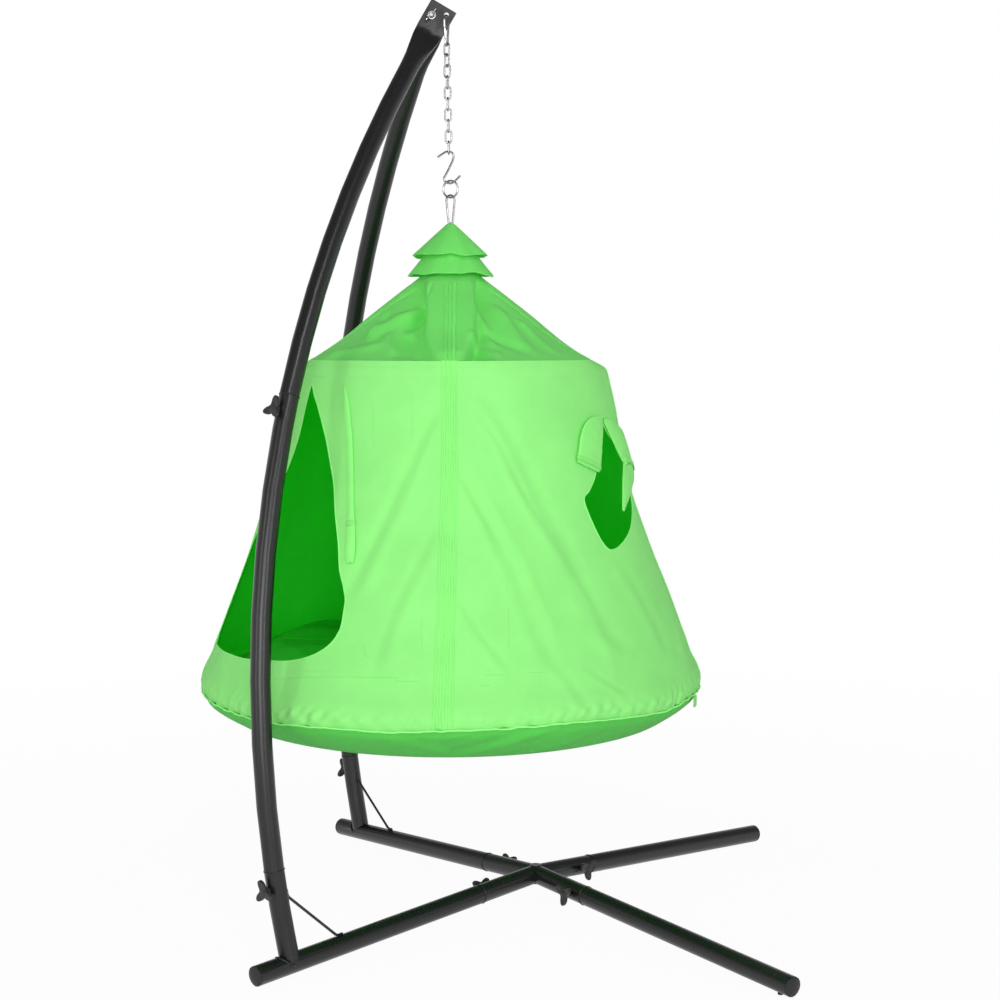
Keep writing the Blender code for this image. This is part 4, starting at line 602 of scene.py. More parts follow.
class Profile:
    """A smooth profile with radius, height and outward direction at each length along it."""

    def __init__(self, points):
        line = even(smooth_curve(points, 600), 0.002)
        self.s = lengths(line)
        self.r, self.h = line[:, 0], line[:, 1]
        d = unit(np.gradient(line, self.s, axis=0))
        self.nr, self.nh = -d[:, 1], d[:, 0]

    def at(self, s):
        """Radius, height and the two parts of the outward direction at a length."""
        return (np.interp(s, self.s, v) for v in (self.r, self.h, self.nr, self.nh))

    def where(self, h):
        """The length at which the profile has a height."""
        return np.interp(h, self.h[::-1], self.s[::-1])


def around(theta, r, h):
    """Points at an angle in degrees, a radius and a height over the tent's floor."""
    theta, r, h = np.broadcast_arrays(np.radians(theta), r, h)
    return np.stack([AXIS_X + r * np.sin(theta), -r * np.cos(theta), FLOOR + h], -1)


wall_line, roof_line, band_line = Profile(WALL_PROFILE), Profile(ROOF_PROFILE), Profile(BAND_PROFILE)
WALL_LENGTH = wall_line.s[-1]
ROOF_LENGTH = roof_line.s[-1]
print("down the wall", round(float(WALL_LENGTH), 3), "m, down the roof",
      round(float(ROOF_LENGTH), 3), "m")

# %% [markdown]
# ## Folds in the wall
# The weight of the tent pulls its cloth into long slanting folds that start at the front seam and the
# eave. A cloth simulation would make folds too, but not these. Each fold is written down as a falling
# line, read off the photograph, with a soft hollow along it and a low roll beside it. The back isn't
# seen in the photograph, and has the same folds mirrored.
# %% Folds in the wall
SEAM = 4.7
MIRROR = 2 * SEAM + 180.0
FOLD_ARC_R, RIDGE_ARC_R = 0.42, 0.2
ROLL_AT = 1.9  # how far from its hollow the roll lies, in half widths
# A line of (angle, height), its half width, how far it stands out, and how high the roll beside it is.
FOLDS = [
    ([(0.2, 0.681), (-5.9, 0.602), (-11.4, 0.510), (-16.2, 0.432), (-19.8, 0.367), (-22.0, 0.320)],
     0.016, -0.0038, 0.0034),
    ([(-0.1, 0.447), (-4.2, 0.377), (-7.2, 0.333), (-9.9, 0.276), (-11.6, 0.220), (-12.6, 0.180)],
     0.012, -0.0026, 0.0024),
    ([(16.9, 0.714), (24.1, 0.634), (29.9, 0.554), (34.9, 0.474), (39.4, 0.401), (42.9, 0.314),
      (46.4, 0.241), (52.3, 0.190)], 0.022, -0.0030, 0.0022),
    ([(14.4, 0.674), (21.5, 0.601), (27.1, 0.522), (30.5, 0.470)], 0.010, -0.0016, 0.0012),
    ([(9.6, 0.544), (17.6, 0.433), (22.2, 0.362), (25.7, 0.261), (29.1, 0.178)], 0.014, -0.0021, 0.0018),
    ([(7.6, 0.563), (15.1, 0.472), (19.3, 0.414)], 0.010, -0.0018, 0.0016),
    ([(7.1, 0.321), (11.7, 0.259), (16.7, 0.202), (18.8, 0.177)], 0.010, -0.0022, 0.0020),
    ([(9.8, 0.589), (17.3, 0.491), (24.6, 0.393), (27.6, 0.310), (30.5, 0.239)], 0.012, 0.0018, 0.0),
    ([(21.1, 0.562), (28.4, 0.476), (34.8, 0.396), (42.1, 0.296), (44.3, 0.165)], 0.014, 0.0020, 0.0),
    ([(29.5, 0.190), (30.7, 0.177), (34.6, 0.112), (35.4, 0.100)], 0.010, -0.0015, 0.0011),
    ([(37.5, 0.180), (39.3, 0.164), (45.5, 0.126), (47.0, 0.114)], 0.010, -0.0015, 0.0011),
    ([(60.0, 0.360), (64.0, 0.290), (67.0, 0.220), (69.0, 0.150)], 0.018, -0.0018, 0.0014),
]


def soft(x):
    """0 below 0, 1 above 1 and a smooth step between."""
    x = np.clip(x, 0, 1)
    return x * x * (3 - 2 * x)


def hill(x, width):
    """A soft hill that is 1 at 0."""
    return np.exp(-((x / width) ** 2))


def crease(theta, h, fold):
    """A long soft fold along a falling line, with a roll beside it."""
    line, width, depth, roll = fold
    points = np.array(line)[::-1]
    middle = np.interp(h, points[:, 1], points[:, 0])
    across = np.radians(theta - middle) * FOLD_ARC_R
    side = np.sign(points[0, 0] - points[-1, 0])
    top, low = points[-1, 1], points[0, 1]
    fade = soft((top + 0.03 - h) / 0.08) * soft((h - low + 0.03) / 0.07)
    return fade * (depth * hill(across, width) + roll * hill(across + side * ROLL_AT * width, width))


def ridge(theta, h, fold):
    """One short soft fold: a ridge from one end to the other, fading out at both."""
    t0, h0, t1, h1, width, height = fold
    scale = math.radians(1) * RIDGE_ARC_R
    x, y = (theta - t0) * scale, h - h0
    dx, dy = (t1 - t0) * scale, h1 - h0
    length = math.hypot(dx, dy)
    along = (x * dx + y * dy) / length**2
    across = (x * dy - y * dx) / length
    return height * hill(across, width) * soft(along * 4) * soft((1 - along) * 4)


print("long folds:", len(FOLDS), "deepest", min(fold[2] for fold in FOLDS) * 1000, "mm")

# %% [markdown]
# ## Gathers at the base seam
# Where the wall is sewn to the base band, its cloth is a little too long and puckers. Even ripples
# would look like a machine part. Three waves of different lengths, whose size also comes and goes round
# the tent, look sewn. The seam itself isn't level either, and a short table gives its wave.
# %% Gathers
chance = np.random.RandomState(7)
WAVE_PHASE = chance.rand(8) * 2 * math.pi
# Angle, and how far the base seam lies over or under its mean height.
SEAM_WAVE = np.array([(-90, 0.000), (-60, -0.004), (-37, -0.0085), (-28, -0.0045), (-17, -0.0015),
                      (-8, -0.003), (3, 0.002), (31, 0.0065), (45, 0.001), (59, -0.0055), (72, 0.002),
                      (90, 0.000), (130, 0.004), (170, -0.003), (215, 0.004), (250, -0.004),
                      (270, 0.000)])


def turned(theta):
    """An angle brought into -90 to 270 degrees."""
    return (np.asarray(theta, float) + 90.0) % 360.0 - 90.0


def seam_lift(theta):
    """How far the base seam lies over or under its mean height."""
    return np.interp(turned(theta), SEAM_WAVE[:, 0], SEAM_WAVE[:, 1])


def puckers(theta):
    """Short gathers along a seam, in waves per turn, uneven in size."""
    a = np.radians(turned(theta))
    size = 0.35 + 0.65 * np.abs(np.sin(3.1 * a + 0.9) * np.sin(7.3 * a + 2.0))
    wave = (np.sin(61 * a + 1.7 * np.sin(9 * a + WAVE_PHASE[0]))
            + 0.6 * np.sin(97 * a + 2.3 * np.sin(13 * a + WAVE_PHASE[1]))
            + 0.4 * np.sin(151 * a + WAVE_PHASE[2]))
    return size * wave


print("the base seam waves by", round(float(np.ptp(SEAM_WAVE[:, 1])) * 1000, 1), "mm")

# %% [markdown]
# ## The wall as a surface
# Now all the parts of the wall's relief are added up: long folds, a wide swell, the flat sides between
# the seams, ripples and gathers at the base, and a row of small bulges just over the seam. Near the
# eave the taped seams pull the cloth straight, so the relief fades and the edge is drawn outwards
# there. From here on every piece that lies on the wall asks the same function for its points, so
# nothing floats over the cloth or sinks into it.
# %% Wall surface
# Height, and how far the cloth is pulled out there to keep the wall straight up to the eave.
EAVE = np.array([(0.7420, 0.0), (0.7490, 0.0016), (0.7548, 0.0065), (0.7625, 0.0180), (EAVE_H, 0.0345)])
SWELL_HEIGHT, FLAT_SIDE, GATHER_HEIGHT = 0.0016, 0.0040, 0.0017
BULGE_AT, BULGE_HEIGHT = 0.094, 0.0019
RIPPLE_AT, RIPPLE_HEIGHT = 0.168, 0.0012


def wall_relief(theta, h):
    """How far the wall's cloth stands out from its plain profile."""
    theta = turned(theta)
    out = np.zeros(np.broadcast(theta, h).shape)
    for fold in FOLDS:
        out += crease(theta, h, fold) + 0.9 * crease(turned(MIRROR - theta), h, fold)
    a = np.radians(theta)
    bell = np.sin(np.pi * np.clip((h - 0.09) / 0.65, 0, 1))
    out += SWELL_HEIGHT * bell * (np.sin(5 * a + 9 * h + WAVE_PHASE[3])
                                  + 0.7 * np.sin(11 * a - 14 * h + WAVE_PHASE[4]))
    out -= FLAT_SIDE * bell * np.sin(np.radians(2 * (theta - SEAM))) ** 2
    low = np.clip((0.135 - h) / 0.06, 0, 1) ** 1.6
    out += GATHER_HEIGHT * low * puckers(theta + 40 * (0.1 - h))
    out += RIPPLE_HEIGHT * hill(h - RIPPLE_AT, 0.02) * np.sin(23 * a + 3 * np.sin(5 * a))
    bulge = (np.sin(77 * a + 1.6 * np.sin(9 * a) + 90 * h)
             + 0.8 * np.sin(112 * a - 160 * h + 2.0 * np.sin(11 * a)))
    size = 0.35 + 0.9 * hill(theta + 26, 16) + 0.5 * hill(theta - 38, 10) + 0.4 * hill(theta - 60, 8)
    out += BULGE_HEIGHT * size * bulge * hill(h - BULGE_AT, 0.012)
    top = np.clip((h - 0.70) / 0.05, 0, 1)
    return out * (1 - 0.85 * top)


def eave_pull(theta, h):
    """How far the taped seams pull the eave's edge outwards at the front and back."""
    pull = soft((np.abs(np.cos(np.radians(theta - SEAM))) - 0.12) / 0.45)
    return pull * np.interp(h, EAVE[:, 0], EAVE[:, 1])


def wall_at(theta, s, lift=0.0):
    """Points on the wall at angles and lengths down from the eave seam."""
    r, h, nr, nh = wall_line.at(s)
    d = wall_relief(theta, h) + lift
    low = soft((0.20 - h) / 0.125)
    return around(theta, r + eave_pull(theta, h) + nr * d, h + nh * d + seam_lift(theta) * low)


def on_wall(theta, h, lift=0.0):
    """Points on the wall at angles and heights."""
    return wall_at(theta, wall_line.where(h), lift)


front_relief = wall_relief(np.linspace(-60, 60, 121)[None], np.linspace(0.1, 0.7, 61)[:, None])
print("front wall relief from", round(float(front_relief.min()) * 1000, 1), "to",
      round(float(front_relief.max()) * 1000, 1), "mm")

# %% [markdown]
# ## Cutting the panels
# The real wall is four flat pieces of cloth, sewn together at taped seams, with the door cut from the
# front left one and the window from the front right one. A hole could be cut into the finished tent
# with a boolean, which leaves a ragged edge across the grid. Here it goes as on the cutting table: a
# flat panel, the opening's outline laid on it, triangles that follow the outline exactly, and only then
# is the panel laid on the tent's form.
# %% Openings
DOOR = [(-52.0, 0.720), (-48.6, 0.700), (-45.1, 0.676), (-39.9, 0.625), (-35.9, 0.566), (-33.3, 0.527),
        (-31.4, 0.483), (-27.6, 0.416), (-25.6, 0.366), (-23.2, 0.327), (-22.1, 0.295), (-22.0, 0.268),
        (-22.6, 0.246), (-24.1, 0.226), (-26.9, 0.208), (-30.4, 0.195), (-34.8, 0.186), (-41.3, 0.180),
        (-49.7, 0.174), (-60.0, 0.172), (-72.0, 0.172), (-78.6, 0.180), (-81.0, 0.215), (-81.6, 0.290),
        (-79.0, 0.355), (-69.5, 0.455), (-60.5, 0.550), (-54.6, 0.640), (-53.2, 0.690)]
WINDOW = [(65.3, 0.640), (63.8, 0.6086), (62.4, 0.5886), (59.1, 0.5592), (55.5, 0.5302),
          (52.0, 0.5096), (49.0, 0.4909), (49.8, 0.4648), (51.2, 0.4344), (52.6, 0.4119),
          (54.7, 0.3938), (57.6, 0.3915), (61.4, 0.3985), (68.9, 0.4219), (75.5, 0.4533),
          (80.5, 0.4809), (83.5, 0.5150), (84.0, 0.5508), (79.5, 0.5857), (71.5, 0.6142)]
# Panels by the number of the seam at their left edge; the last one is number -1, left of the front seam.
PANELS = {"wall_front_right": 0, "wall_back_right": 1, "wall_back_left": 2, "wall_front_left": -1}
PANEL_WIDTH = 0.70
OUTLINE_SPACING = 0.004


def seam_angle(number, h):
    """Angle of a wall seam at a height. The front one leans a little to the left at the base."""
    h = np.asarray(h, float)
    lean = -1.3 * np.clip((0.55 - h) / 0.45, 0, 1) if number % 4 == 0 else 0.0
    return SEAM + 90.0 * number + lean + 0.0 * h


def panel_place(number, x, s, lift=0.0):
    """Points of a panel from its flat layout, x across and s down from the eave seam."""
    _, h, _, _ = wall_line.at(s)
    left, right = seam_angle(number, h), seam_angle(number + 1, h)
    return wall_at(left + (right - left) * x / PANEL_WIDTH, s, lift)


def flat_outline(number, outline):
    """An outline given by angle and height, in a panel's flat layout."""
    line = smooth_curve(outline, 400, closed=True)
    s = wall_line.where(line[:, 1])
    left, right = seam_angle(number, line[:, 1]), seam_angle(number + 1, line[:, 1])
    x = (line[:, 0] - left) / (right - left) * PANEL_WIDTH
    return even(np.stack([x, s], 1), OUTLINE_SPACING, closed=True)


door_flat = flat_outline(PANELS["wall_front_left"], DOOR)
window_flat = flat_outline(PANELS["wall_front_right"], WINDOW)
HOLES = {"wall_front_left": door_flat, "wall_front_right": window_flat}
print("round the door:", round(float(lengths(door_flat)[-1]), 2), "m, round the window:",
      round(float(lengths(window_flat)[-1]), 2), "m")

# %% [markdown]
# ## Flat panels with exact holes
# A panel without a hole is a plain grid. In one with a hole, grid points inside the hole or too near to
# its edge are left out, the points of the outline come in, and a Delaunay triangulation joins them all.
# It is told to keep the outline's edges, so no triangle crosses the hole's rim.
# %% Panel cutting
NEAREST = 0.55  # grid points come no nearer to a hole than this share of its outline's spacing


def inside(points, outline):
    """Which points of the plane lie inside a closed outline."""
    x, y = points[:, 0][:, None], points[:, 1][:, None]
    a, b = outline, np.roll(outline, -1, axis=0)
    crosses = (a[:, 1] > y) != (b[:, 1] > y)
    with np.errstate(divide="ignore", invalid="ignore"):
        at = a[:, 0] + (y - a[:, 1]) * (b[:, 0] - a[:, 0]) / (b[:, 1] - a[:, 1])
    return (crosses & (x < at)).sum(1) % 2 == 1


def cut_panel(x_count, s_count, hole=None):
    """Points and faces of a flat panel, with an exact hole if one is given."""
    x, s = np.meshgrid(np.linspace(0, PANEL_WIDTH, x_count), np.linspace(0, WALL_LENGTH, s_count),
                       indexing="ij")
    points = np.stack([x.ravel(), s.ravel()], 1)
    if hole is None:
        return points, grid_faces(x_count, s_count)
    gap = min(np.linalg.norm(np.diff(hole, axis=0), axis=1).mean(), OUTLINE_SPACING) * NEAREST
    near = np.full(len(points), 9.0)
    for k in range(0, len(hole), 64):
        near = np.minimum(near, np.linalg.norm(points[:, None] - hole[None, k:k + 64], axis=2).min(1))
    keep = ~inside(points, hole) & (near > gap)
    count = keep.sum()
    rim_edges = [(count + k, count + (k + 1) % len(hole)) for k in range(len(hole))]
    laid = [Vector(p) for p in np.vstack([points[keep], hole])]
    out, _, faces, *_ = delaunay_2d_cdt(laid, rim_edges, [], 0, 1e-7)
    out = np.array([tuple(p) for p in out])
    faces = np.array(faces)
    return out, faces[~inside(out[faces].mean(1), hole)]


print("a coarse panel with the window has", len(cut_panel(21, 21, window_flat)[1]), "triangles")

# %% [markdown]
# ## Wall panels and their lining
# The outer panels are dense enough for their folds. A single sheet would be simpler, but the inside of
# the tent looks a much deeper green than the outside, because it lies in shade. So a lining hangs just
# inside the walls, and its deep green is painted shade. It is seen only through the openings and needs
# fewer points.
# %% Walls
LINING_DEPTH = 0.0016


def area_of(o):
    """Area of all faces of a piece."""
    return sum(p.area for p in o.data.polygons)


def hang(o, replaced):
    """Lets a sheet ride on the tent and hides the CAD solids that it takes the place of."""
    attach(o, "tent")
    if replaced:
        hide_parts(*replaced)


def sew_walls(suffix, material, counts, lift=0.0):
    """Cuts the four panels flat, with their openings, and lays them on the tent's form."""
    made = {}
    for name, number in PANELS.items():
        points, faces = cut_panel(*counts, HOLES.get(name))
        place = panel_place(number, points[:, 0], points[:, 1], lift)
        made[name] = add_mesh(name + suffix, place, faces, material, uv=points)
        print(name + suffix, len(faces), "faces", round(area_of(made[name]), 3), "square metres")
    return made


for name, panel in sew_walls("_cloth", cloth, (176, 201)).items():
    hang(panel, [name])
# These inner sheets are drawn in a deep green that paints the shade inside the tent.
for name, panel in sew_walls("_lining", lining, (81, 91), -LINING_DEPTH).items():
    hang(panel, [])

# %% [markdown]
# ## Hems of the openings
# The cut edge of each opening is turned over and stitched, which leaves a narrow flat roll round the
# hole. Giving the whole cloth a thickness would thicken every edge alike. A flattened tube along the
# very outline of the hole gives the roll just where it is.
# %% Hems
HEM_R = 0.0013
HEM_LIFT = 0.0003


def outward(place_at, lift):
    """Points at a lift over a surface, and the way outwards there."""
    line = place_at(lift)
    return line, place_at(lift + 0.01) - line


for name, wall in (("door_hem", "wall_front_left"), ("window_hem", "wall_front_right")):
    edge = HOLES[wall]
    line, out = outward(lambda lift: panel_place(PANELS[wall], edge[:, 0], edge[:, 1], lift), HEM_LIFT)
    hem = tube(name, line, HEM_R, hem_cloth, sides=8, up=out, flat=0.75, closed=True)
    dress(hem, "tent")
    print(name, len(edge), "points round the edge")

# %% [markdown]
# ## Roof
# The roof is a soft cone. Its front seam is stretched tight and stands out as a straight strip, and the
# cloth beside it sinks into two hollows that fade towards the sides, so the outline stays straight. A
# plain cone with a wrinkle texture would miss that shape from every side. Short folds run up from the
# eave, and the back has them mirrored.
# %% Roof
ROOF_EDGE = ROOF_PROFILE[-1][1]
ROOF_MIRROR = 189.0
STRIP_HEIGHT, HOLLOW_DEPTH, HOLLOW_WIDTH = 0.0080, 0.0250, 0.050
# From angle and height to angle and height, half width, and how far it stands out.
ROOF_FOLDS = [
    (28.0, 0.905, 25.0, 0.790, 0.012, 0.0090), (47.0, 0.900, 37.0, 0.775, 0.015, 0.0080),
    (56.0, 0.860, 50.0, 0.780, 0.012, 0.0070), (-22.0, 0.900, -46.0, 0.800, 0.013, 0.0095),
    (-24.0, 0.805, -52.0, 0.778, 0.009, 0.0080), (-50.0, 0.880, -34.0, 0.800, 0.010, 0.0070),
    (-20.0, 0.840, -10.0, 0.776, 0.009, -0.0080), (14.0, 0.830, 26.0, 0.776, 0.010, 0.0090),
    (22.0, 0.850, 40.0, 0.780, 0.010, -0.0070), (-17.0, 0.930, -24.0, 0.830, 0.009, -0.0090),
    (-32.0, 0.830, -16.0, 0.782, 0.008, 0.0070),
]


def roof_relief(theta, h):
    """The roof's cloth stands out in a strip at the front and back seam, with hollows beside it."""
    theta = turned(theta)
    out = np.zeros(np.broadcast(theta, h).shape)
    r = np.interp(h, roof_line.h[::-1], roof_line.r[::-1])
    for centre in (SEAM, SEAM + 180.0):
        x = r * np.sin(np.radians(theta - centre))
        facing = np.cos(np.radians(theta - centre)) > 0
        half = 0.022 + 0.031 * np.clip((h - 0.775) / 0.05, 0, 1) ** 0.6
        strip = 1 / (1 + np.exp((np.abs(x) - half) / 0.0030))
        away = np.clip(np.abs(x) - half, 0, None)
        fades = np.clip(1.25 * (1 - (x / r) ** 2), 0, 1) ** 2
        hollow = hill(away, HOLLOW_WIDTH) * (1 + 0.25 * np.sin(40 * h + 30 * x)) * fades
        out += np.where(facing, STRIP_HEIGHT * strip - HOLLOW_DEPTH * (1 - strip) * hollow, 0.0)
    for fold in ROOF_FOLDS:
        out += ridge(theta, h, fold) + 0.8 * ridge(ROOF_MIRROR - theta, h, fold)
    edge = np.clip((h - ROOF_EDGE) / 0.012, 0, 1) * np.clip((0.96 - h) / 0.03, 0, 1)
    return out * edge


def roof_at(theta, s, lift=0.0):
    """Points on the roof at angles and lengths down from its top."""
    r, h, nr, nh = roof_line.at(s)
    d = roof_relief(theta, h) + lift
    near = np.clip((r - 0.19) / (EAVE_R - 0.19), 0, 1) ** 2
    return around(theta, r + near * eave_pull(theta, EAVE_H) + nr * d, h + nh * d)


def skirt(name, place_at, length, rows, step, material, uv_radius):
    """A sheet all round the tent's axis, from place_at(angles, lengths down)."""
    s, theta = np.meshgrid(np.linspace(0, length, rows), np.arange(0, 360, step), indexing="ij")
    flat = np.stack([np.radians(theta) * uv_radius, s], -1).reshape(-1, 2)
    return add_grid(name, place_at(theta, s), material, closed=True, uv=flat)


# The roof is drawn in the darker roof green, which is painted shade.
roof = skirt("roof_cloth", roof_at, ROOF_LENGTH, 90, 0.75, roof_cloth, 0.2)
hang(roof, ["roof"])
print("roof", round(area_of(roof), 3), "square metres")

# %% [markdown]
# ## Two small caps
# Over the roof sit two little cones, one over the other. Their hems turn in and wave unevenly, and each
# has a few dents. Blender's cone is perfectly even. So each cap is turned from a profile with a
# turned-in hem, and waves and dents are added that grow towards the rim.
# %% Caps
TOP_CAP = [(0.0082, 1.0590), (0.0400, 1.0300), (0.0780, 0.9938), (0.0808, 0.9908), (0.0790, 0.9897),
           (0.0640, 0.9960), (0.0450, 1.0100)]
SECOND_CAP = [(0.0300, 1.0345), (0.0636, 0.9852), (0.0900, 0.9530), (0.0925, 0.9498), (0.0905, 0.9487),
              (0.0800, 0.9540), (0.0700, 0.9640)]
# Waves are (number round the rim, height); dents are (angle, width in degrees, depth).
TOP_WAVES = [(2, 0.0010), (3, 0.0016), (5, 0.0016), (9, 0.0011)]
TOP_DENTS = [(8.0, 12.0, 0.0150), (-30.0, 14.0, 0.0060), (48.0, 12.0, 0.0060), (170.0, 14.0, 0.0100),
             (100.0, 12.0, 0.0060)]
SECOND_WAVES = [(2, 0.0009), (4, 0.0011), (7, 0.0010), (11, 0.0007)]
SECOND_DENTS = [(-14.0, 16.0, 0.0075), (34.0, 14.0, 0.0085), (190.0, 16.0, 0.0080)]


def cap(name, profile, waves, dents, seed, node):
    """A small cone whose hem turns in, uneven round its rim."""
    line = even(smooth_curve(profile, 200), 0.0025)
    theta = np.arange(0, 360, 2.5)
    share = np.clip(1.5 * np.linspace(0, 1, len(line))[:, None] ** 2, 0, 1)
    a = np.radians(theta)[None]
    phase = np.random.RandomState(seed).rand(len(waves)) * 6.28
    wave = sum(height * np.sin(count * a + phase[i]) for i, (count, height) in enumerate(waves))
    r = line[:, 0][:, None] + 0 * a
    h = line[:, 1][:, None] + share * wave
    for centre, width, depth in dents:
        dent = share * hill((np.degrees(a) + 180 - centre) % 360 - 180, width)
        r, h = r - depth * dent, h + 0.5 * depth * dent
    grid = around(theta[None], r + share * 0.3 * wave, h)
    flat = np.stack([a * 0.08 + 0 * r, lengths(line)[:, None] + 0 * r], -1).reshape(-1, 2)
    # The caps take the roof's darker green, which is painted shade.
    made = add_grid(name, grid, roof_cloth, closed=True, uv=flat)
    hang(made, [node])
    print(name, "is", round(2000 * line[:, 0].max()), "mm wide")


cap("top_cap_cloth", TOP_CAP, TOP_WAVES, TOP_DENTS, 3, "top_cap")
cap("second_cap_cloth", SECOND_CAP, SECOND_WAVES, SECOND_DENTS, 5, "second_cap")

# %% [markdown]
# ## Base band
# Under the base seam a band runs in to the floor. Its darker green is painted shade, as the band
# faces down. Its cloth lies in slanting folds, which lean one way on one side of a seam and the other
# way on the other. It is made like the roof, with its own relief and the same wave along its upper
# edge as the wall, so the two meet all round.
# %% Base band
BAND_FOLD, BAND_GATHER = 0.0020, 0.0008


def band_relief(theta, h):
    """Slanting folds and gathers in the band under the base seam."""
    theta = turned(theta)
    a = np.radians(theta)
    bell = np.sin(np.pi * np.clip((h - 0.004) / 0.070, 0, 1))
    slant = a + 6.0 * (0.07 - h) * np.sign(np.sin(2 * np.radians(theta - SEAM)))
    wave = (np.sin(19 * slant + 1.5 * np.sin(5 * a + WAVE_PHASE[5]))
            + 0.6 * np.sin(37 * slant + WAVE_PHASE[6]))
    size = 0.5 + 0.5 * np.sin(4 * a + WAVE_PHASE[7])
    near = np.clip((h - 0.045) / 0.025, 0, 1)
    return BAND_FOLD * bell * size * wave + BAND_GATHER * near * puckers(theta)


def band_at(theta, s):
    """Points on the band at angles and lengths down from the base seam."""
    r, h, nr, nh = band_line.at(s)
    d = band_relief(theta, h)
    top = np.clip((h - 0.03) / 0.04, 0, 1)
    return around(theta, r + nr * d, h + nh * d + seam_lift(theta) * top)


# The band is drawn in the darker band green, which is painted shade.
band = skirt("base_band_cloth", band_at, band_line.s[-1], 36, 0.6, base_cloth, 0.5)
hang(band, ["base_band"])
print("base band", round(area_of(band), 3), "square metres")

# %% [markdown]
# ## Floor of the tent
# The floor is a flat round of the same cloth, sewn to the inner edge of the band. A plain disc would
# leave a gap at the band's wavy edge. So the outermost ring of the floor is the band's last ring, and
# smaller rings step in to the middle.
# %% Floor
RING_SHARES = (0.985, 0.9, 0.75, 0.55, 0.35, 0.15, 0.03)
FLOOR_LIFT = 0.0012
rim = band_at(np.arange(0, 360, 0.6), np.full(600, band_line.s[-1]))
rings = [rim]
for share in RING_SHARES:
    ring = rim.copy()
    ring[:, :2] = (rim[:, :2] - (AXIS_X, 0.0)) * share + (AXIS_X, 0.0)
    ring[:, 2] = FLOOR + FLOOR_LIFT
    rings.append(ring)
rings = np.array(rings)
# The floor takes the band's darker green, which is painted shade.
floor_sheet = add_grid("floor_cloth", rings, base_cloth, closed=True, uv=rings[..., :2].reshape(-1, 2))
hang(floor_sheet, ["floor"])
print("floor", round(area_of(floor_sheet), 3), "square metres")

# %% [markdown]
# ## Piping in the base seam
# A thin cord is sewn into the seam between wall and band. It runs round the whole tent and follows the
# seam's wave and puckers. A torus would be perfectly round and level, so a tube is drawn along the
# seam's own line instead.
# %% Piping
PIPING_R, PIPING_LINE_R, PIPING_H = 0.0019, 0.5362, 0.0738
theta = np.arange(0, 360, 0.4)
piping_line = around(theta, PIPING_LINE_R + 0.0009 * puckers(theta + 3),
                     PIPING_H + seam_lift(theta) + 0.0008 * puckers(theta))
piping = tube("base_piping_cord", piping_line, PIPING_R, hem_cloth, sides=8, closed=True)
dress(piping, "tent", "base_piping")
print("piping", round(float(lengths(piping_line)[-1]), 2), "m")

# %% [markdown]
# ## Taped seams
# A flat tape covers each seam of the wall and the roof, with rows of stitches that pull it down into
# fine grooves. A strip with a striped texture would look printed on. Here the tape is real cloth over
# the wall: a row of points across it, with a groove at each stitch row and edges that dip into the
# wall, is repeated down the seam.
# %% Tapes
STITCH_ROWS, ROOF_STITCH_ROWS = (-0.72, -0.42, -0.12, 0.18, 0.48, 0.78), (-0.8, -0.3, 0.3, 0.8)
WALL_TAPE, ROOF_TAPE = 0.0017, 0.0011
ROOF_TAPE_HALF, HELD_R = 0.0125, 0.055
WALL_STATIONS, ROOF_STATIONS = 150, 60
# The side tapes of the roof don't run straight down: the angle at the top and at the eave.
ROOF_SIDES = {"right": (68.0, 78.0), "left": (-52.0, -82.0)}


def ribbon(name, place, stations, angles, half_widths, thickness, stitch_rows, material):
    """A tape over a surface, grooved at its stitches. place(angle, station, offset, lift) gives points."""
    across = np.unique(np.concatenate([[-1.0, -0.96, 0.96, 1.0], np.linspace(-0.9, 0.9, 13)]
                                      + [[c - 0.05, c, c + 0.05] for c in stitch_rows]))
    lift = np.full(len(across), thickness)
    for c in stitch_rows:
        lift -= 0.9 * thickness * hill(across - c, 0.035)
    lift[[0, -1]] = -0.0004
    rows = [place(angle, station, across * half, lift)
            for angle, station, half in zip(angles, stations, half_widths)]
    return add_grid(name, np.array(rows), material)


def wall_tape_row(angle, s, offset, lift):
    """A row of points across a wall tape."""
    r, _, _, _ = wall_line.at(s)
    return wall_at(angle + np.degrees(offset / r), np.full(len(offset), s), lift)


def roof_tape_row(angle, s, offset, lift):
    """A row of points across a roof tape. Its radius is held near the top, or it would wrap round itself."""
    r, _, _, _ = roof_line.at(s)
    return roof_at(angle + np.degrees(offset / max(float(r), HELD_R)), np.full(len(offset), s), lift)


down_wall = np.linspace(0.0005, WALL_LENGTH - 0.004, WALL_STATIONS)
down_roof = np.linspace(0.105, ROOF_LENGTH - 0.0005, ROOF_STATIONS)
_, heights, _, _ = wall_line.at(down_wall)
wall_half = np.interp(heights, [0.08, 0.77], [0.0195, 0.0150])
roof_half = np.full(ROOF_STATIONS, ROOF_TAPE_HALF)
for number, label in enumerate(("front", "right", "back", "left")):
    tape = ribbon(f"wall_tape_{label}", wall_tape_row, down_wall, seam_angle(number, heights), wall_half,
                  WALL_TAPE, STITCH_ROWS, tape_cloth)
    angles = np.linspace(*ROOF_SIDES.get(label, (SEAM + 90.0 * number,) * 2), ROOF_STATIONS)
    over = ribbon(f"roof_tape_{label}", roof_tape_row, down_roof, angles, roof_half,
                  ROOF_TAPE, ROOF_STITCH_ROWS, roof_tape)
    dress(tape, "tent")
    dress(over, "tent")
    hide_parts(f"seam_tape_{label}")
print("wall tape", round(2000 * wall_half[0]), "to", round(2000 * wall_half[-1]), "mm wide")

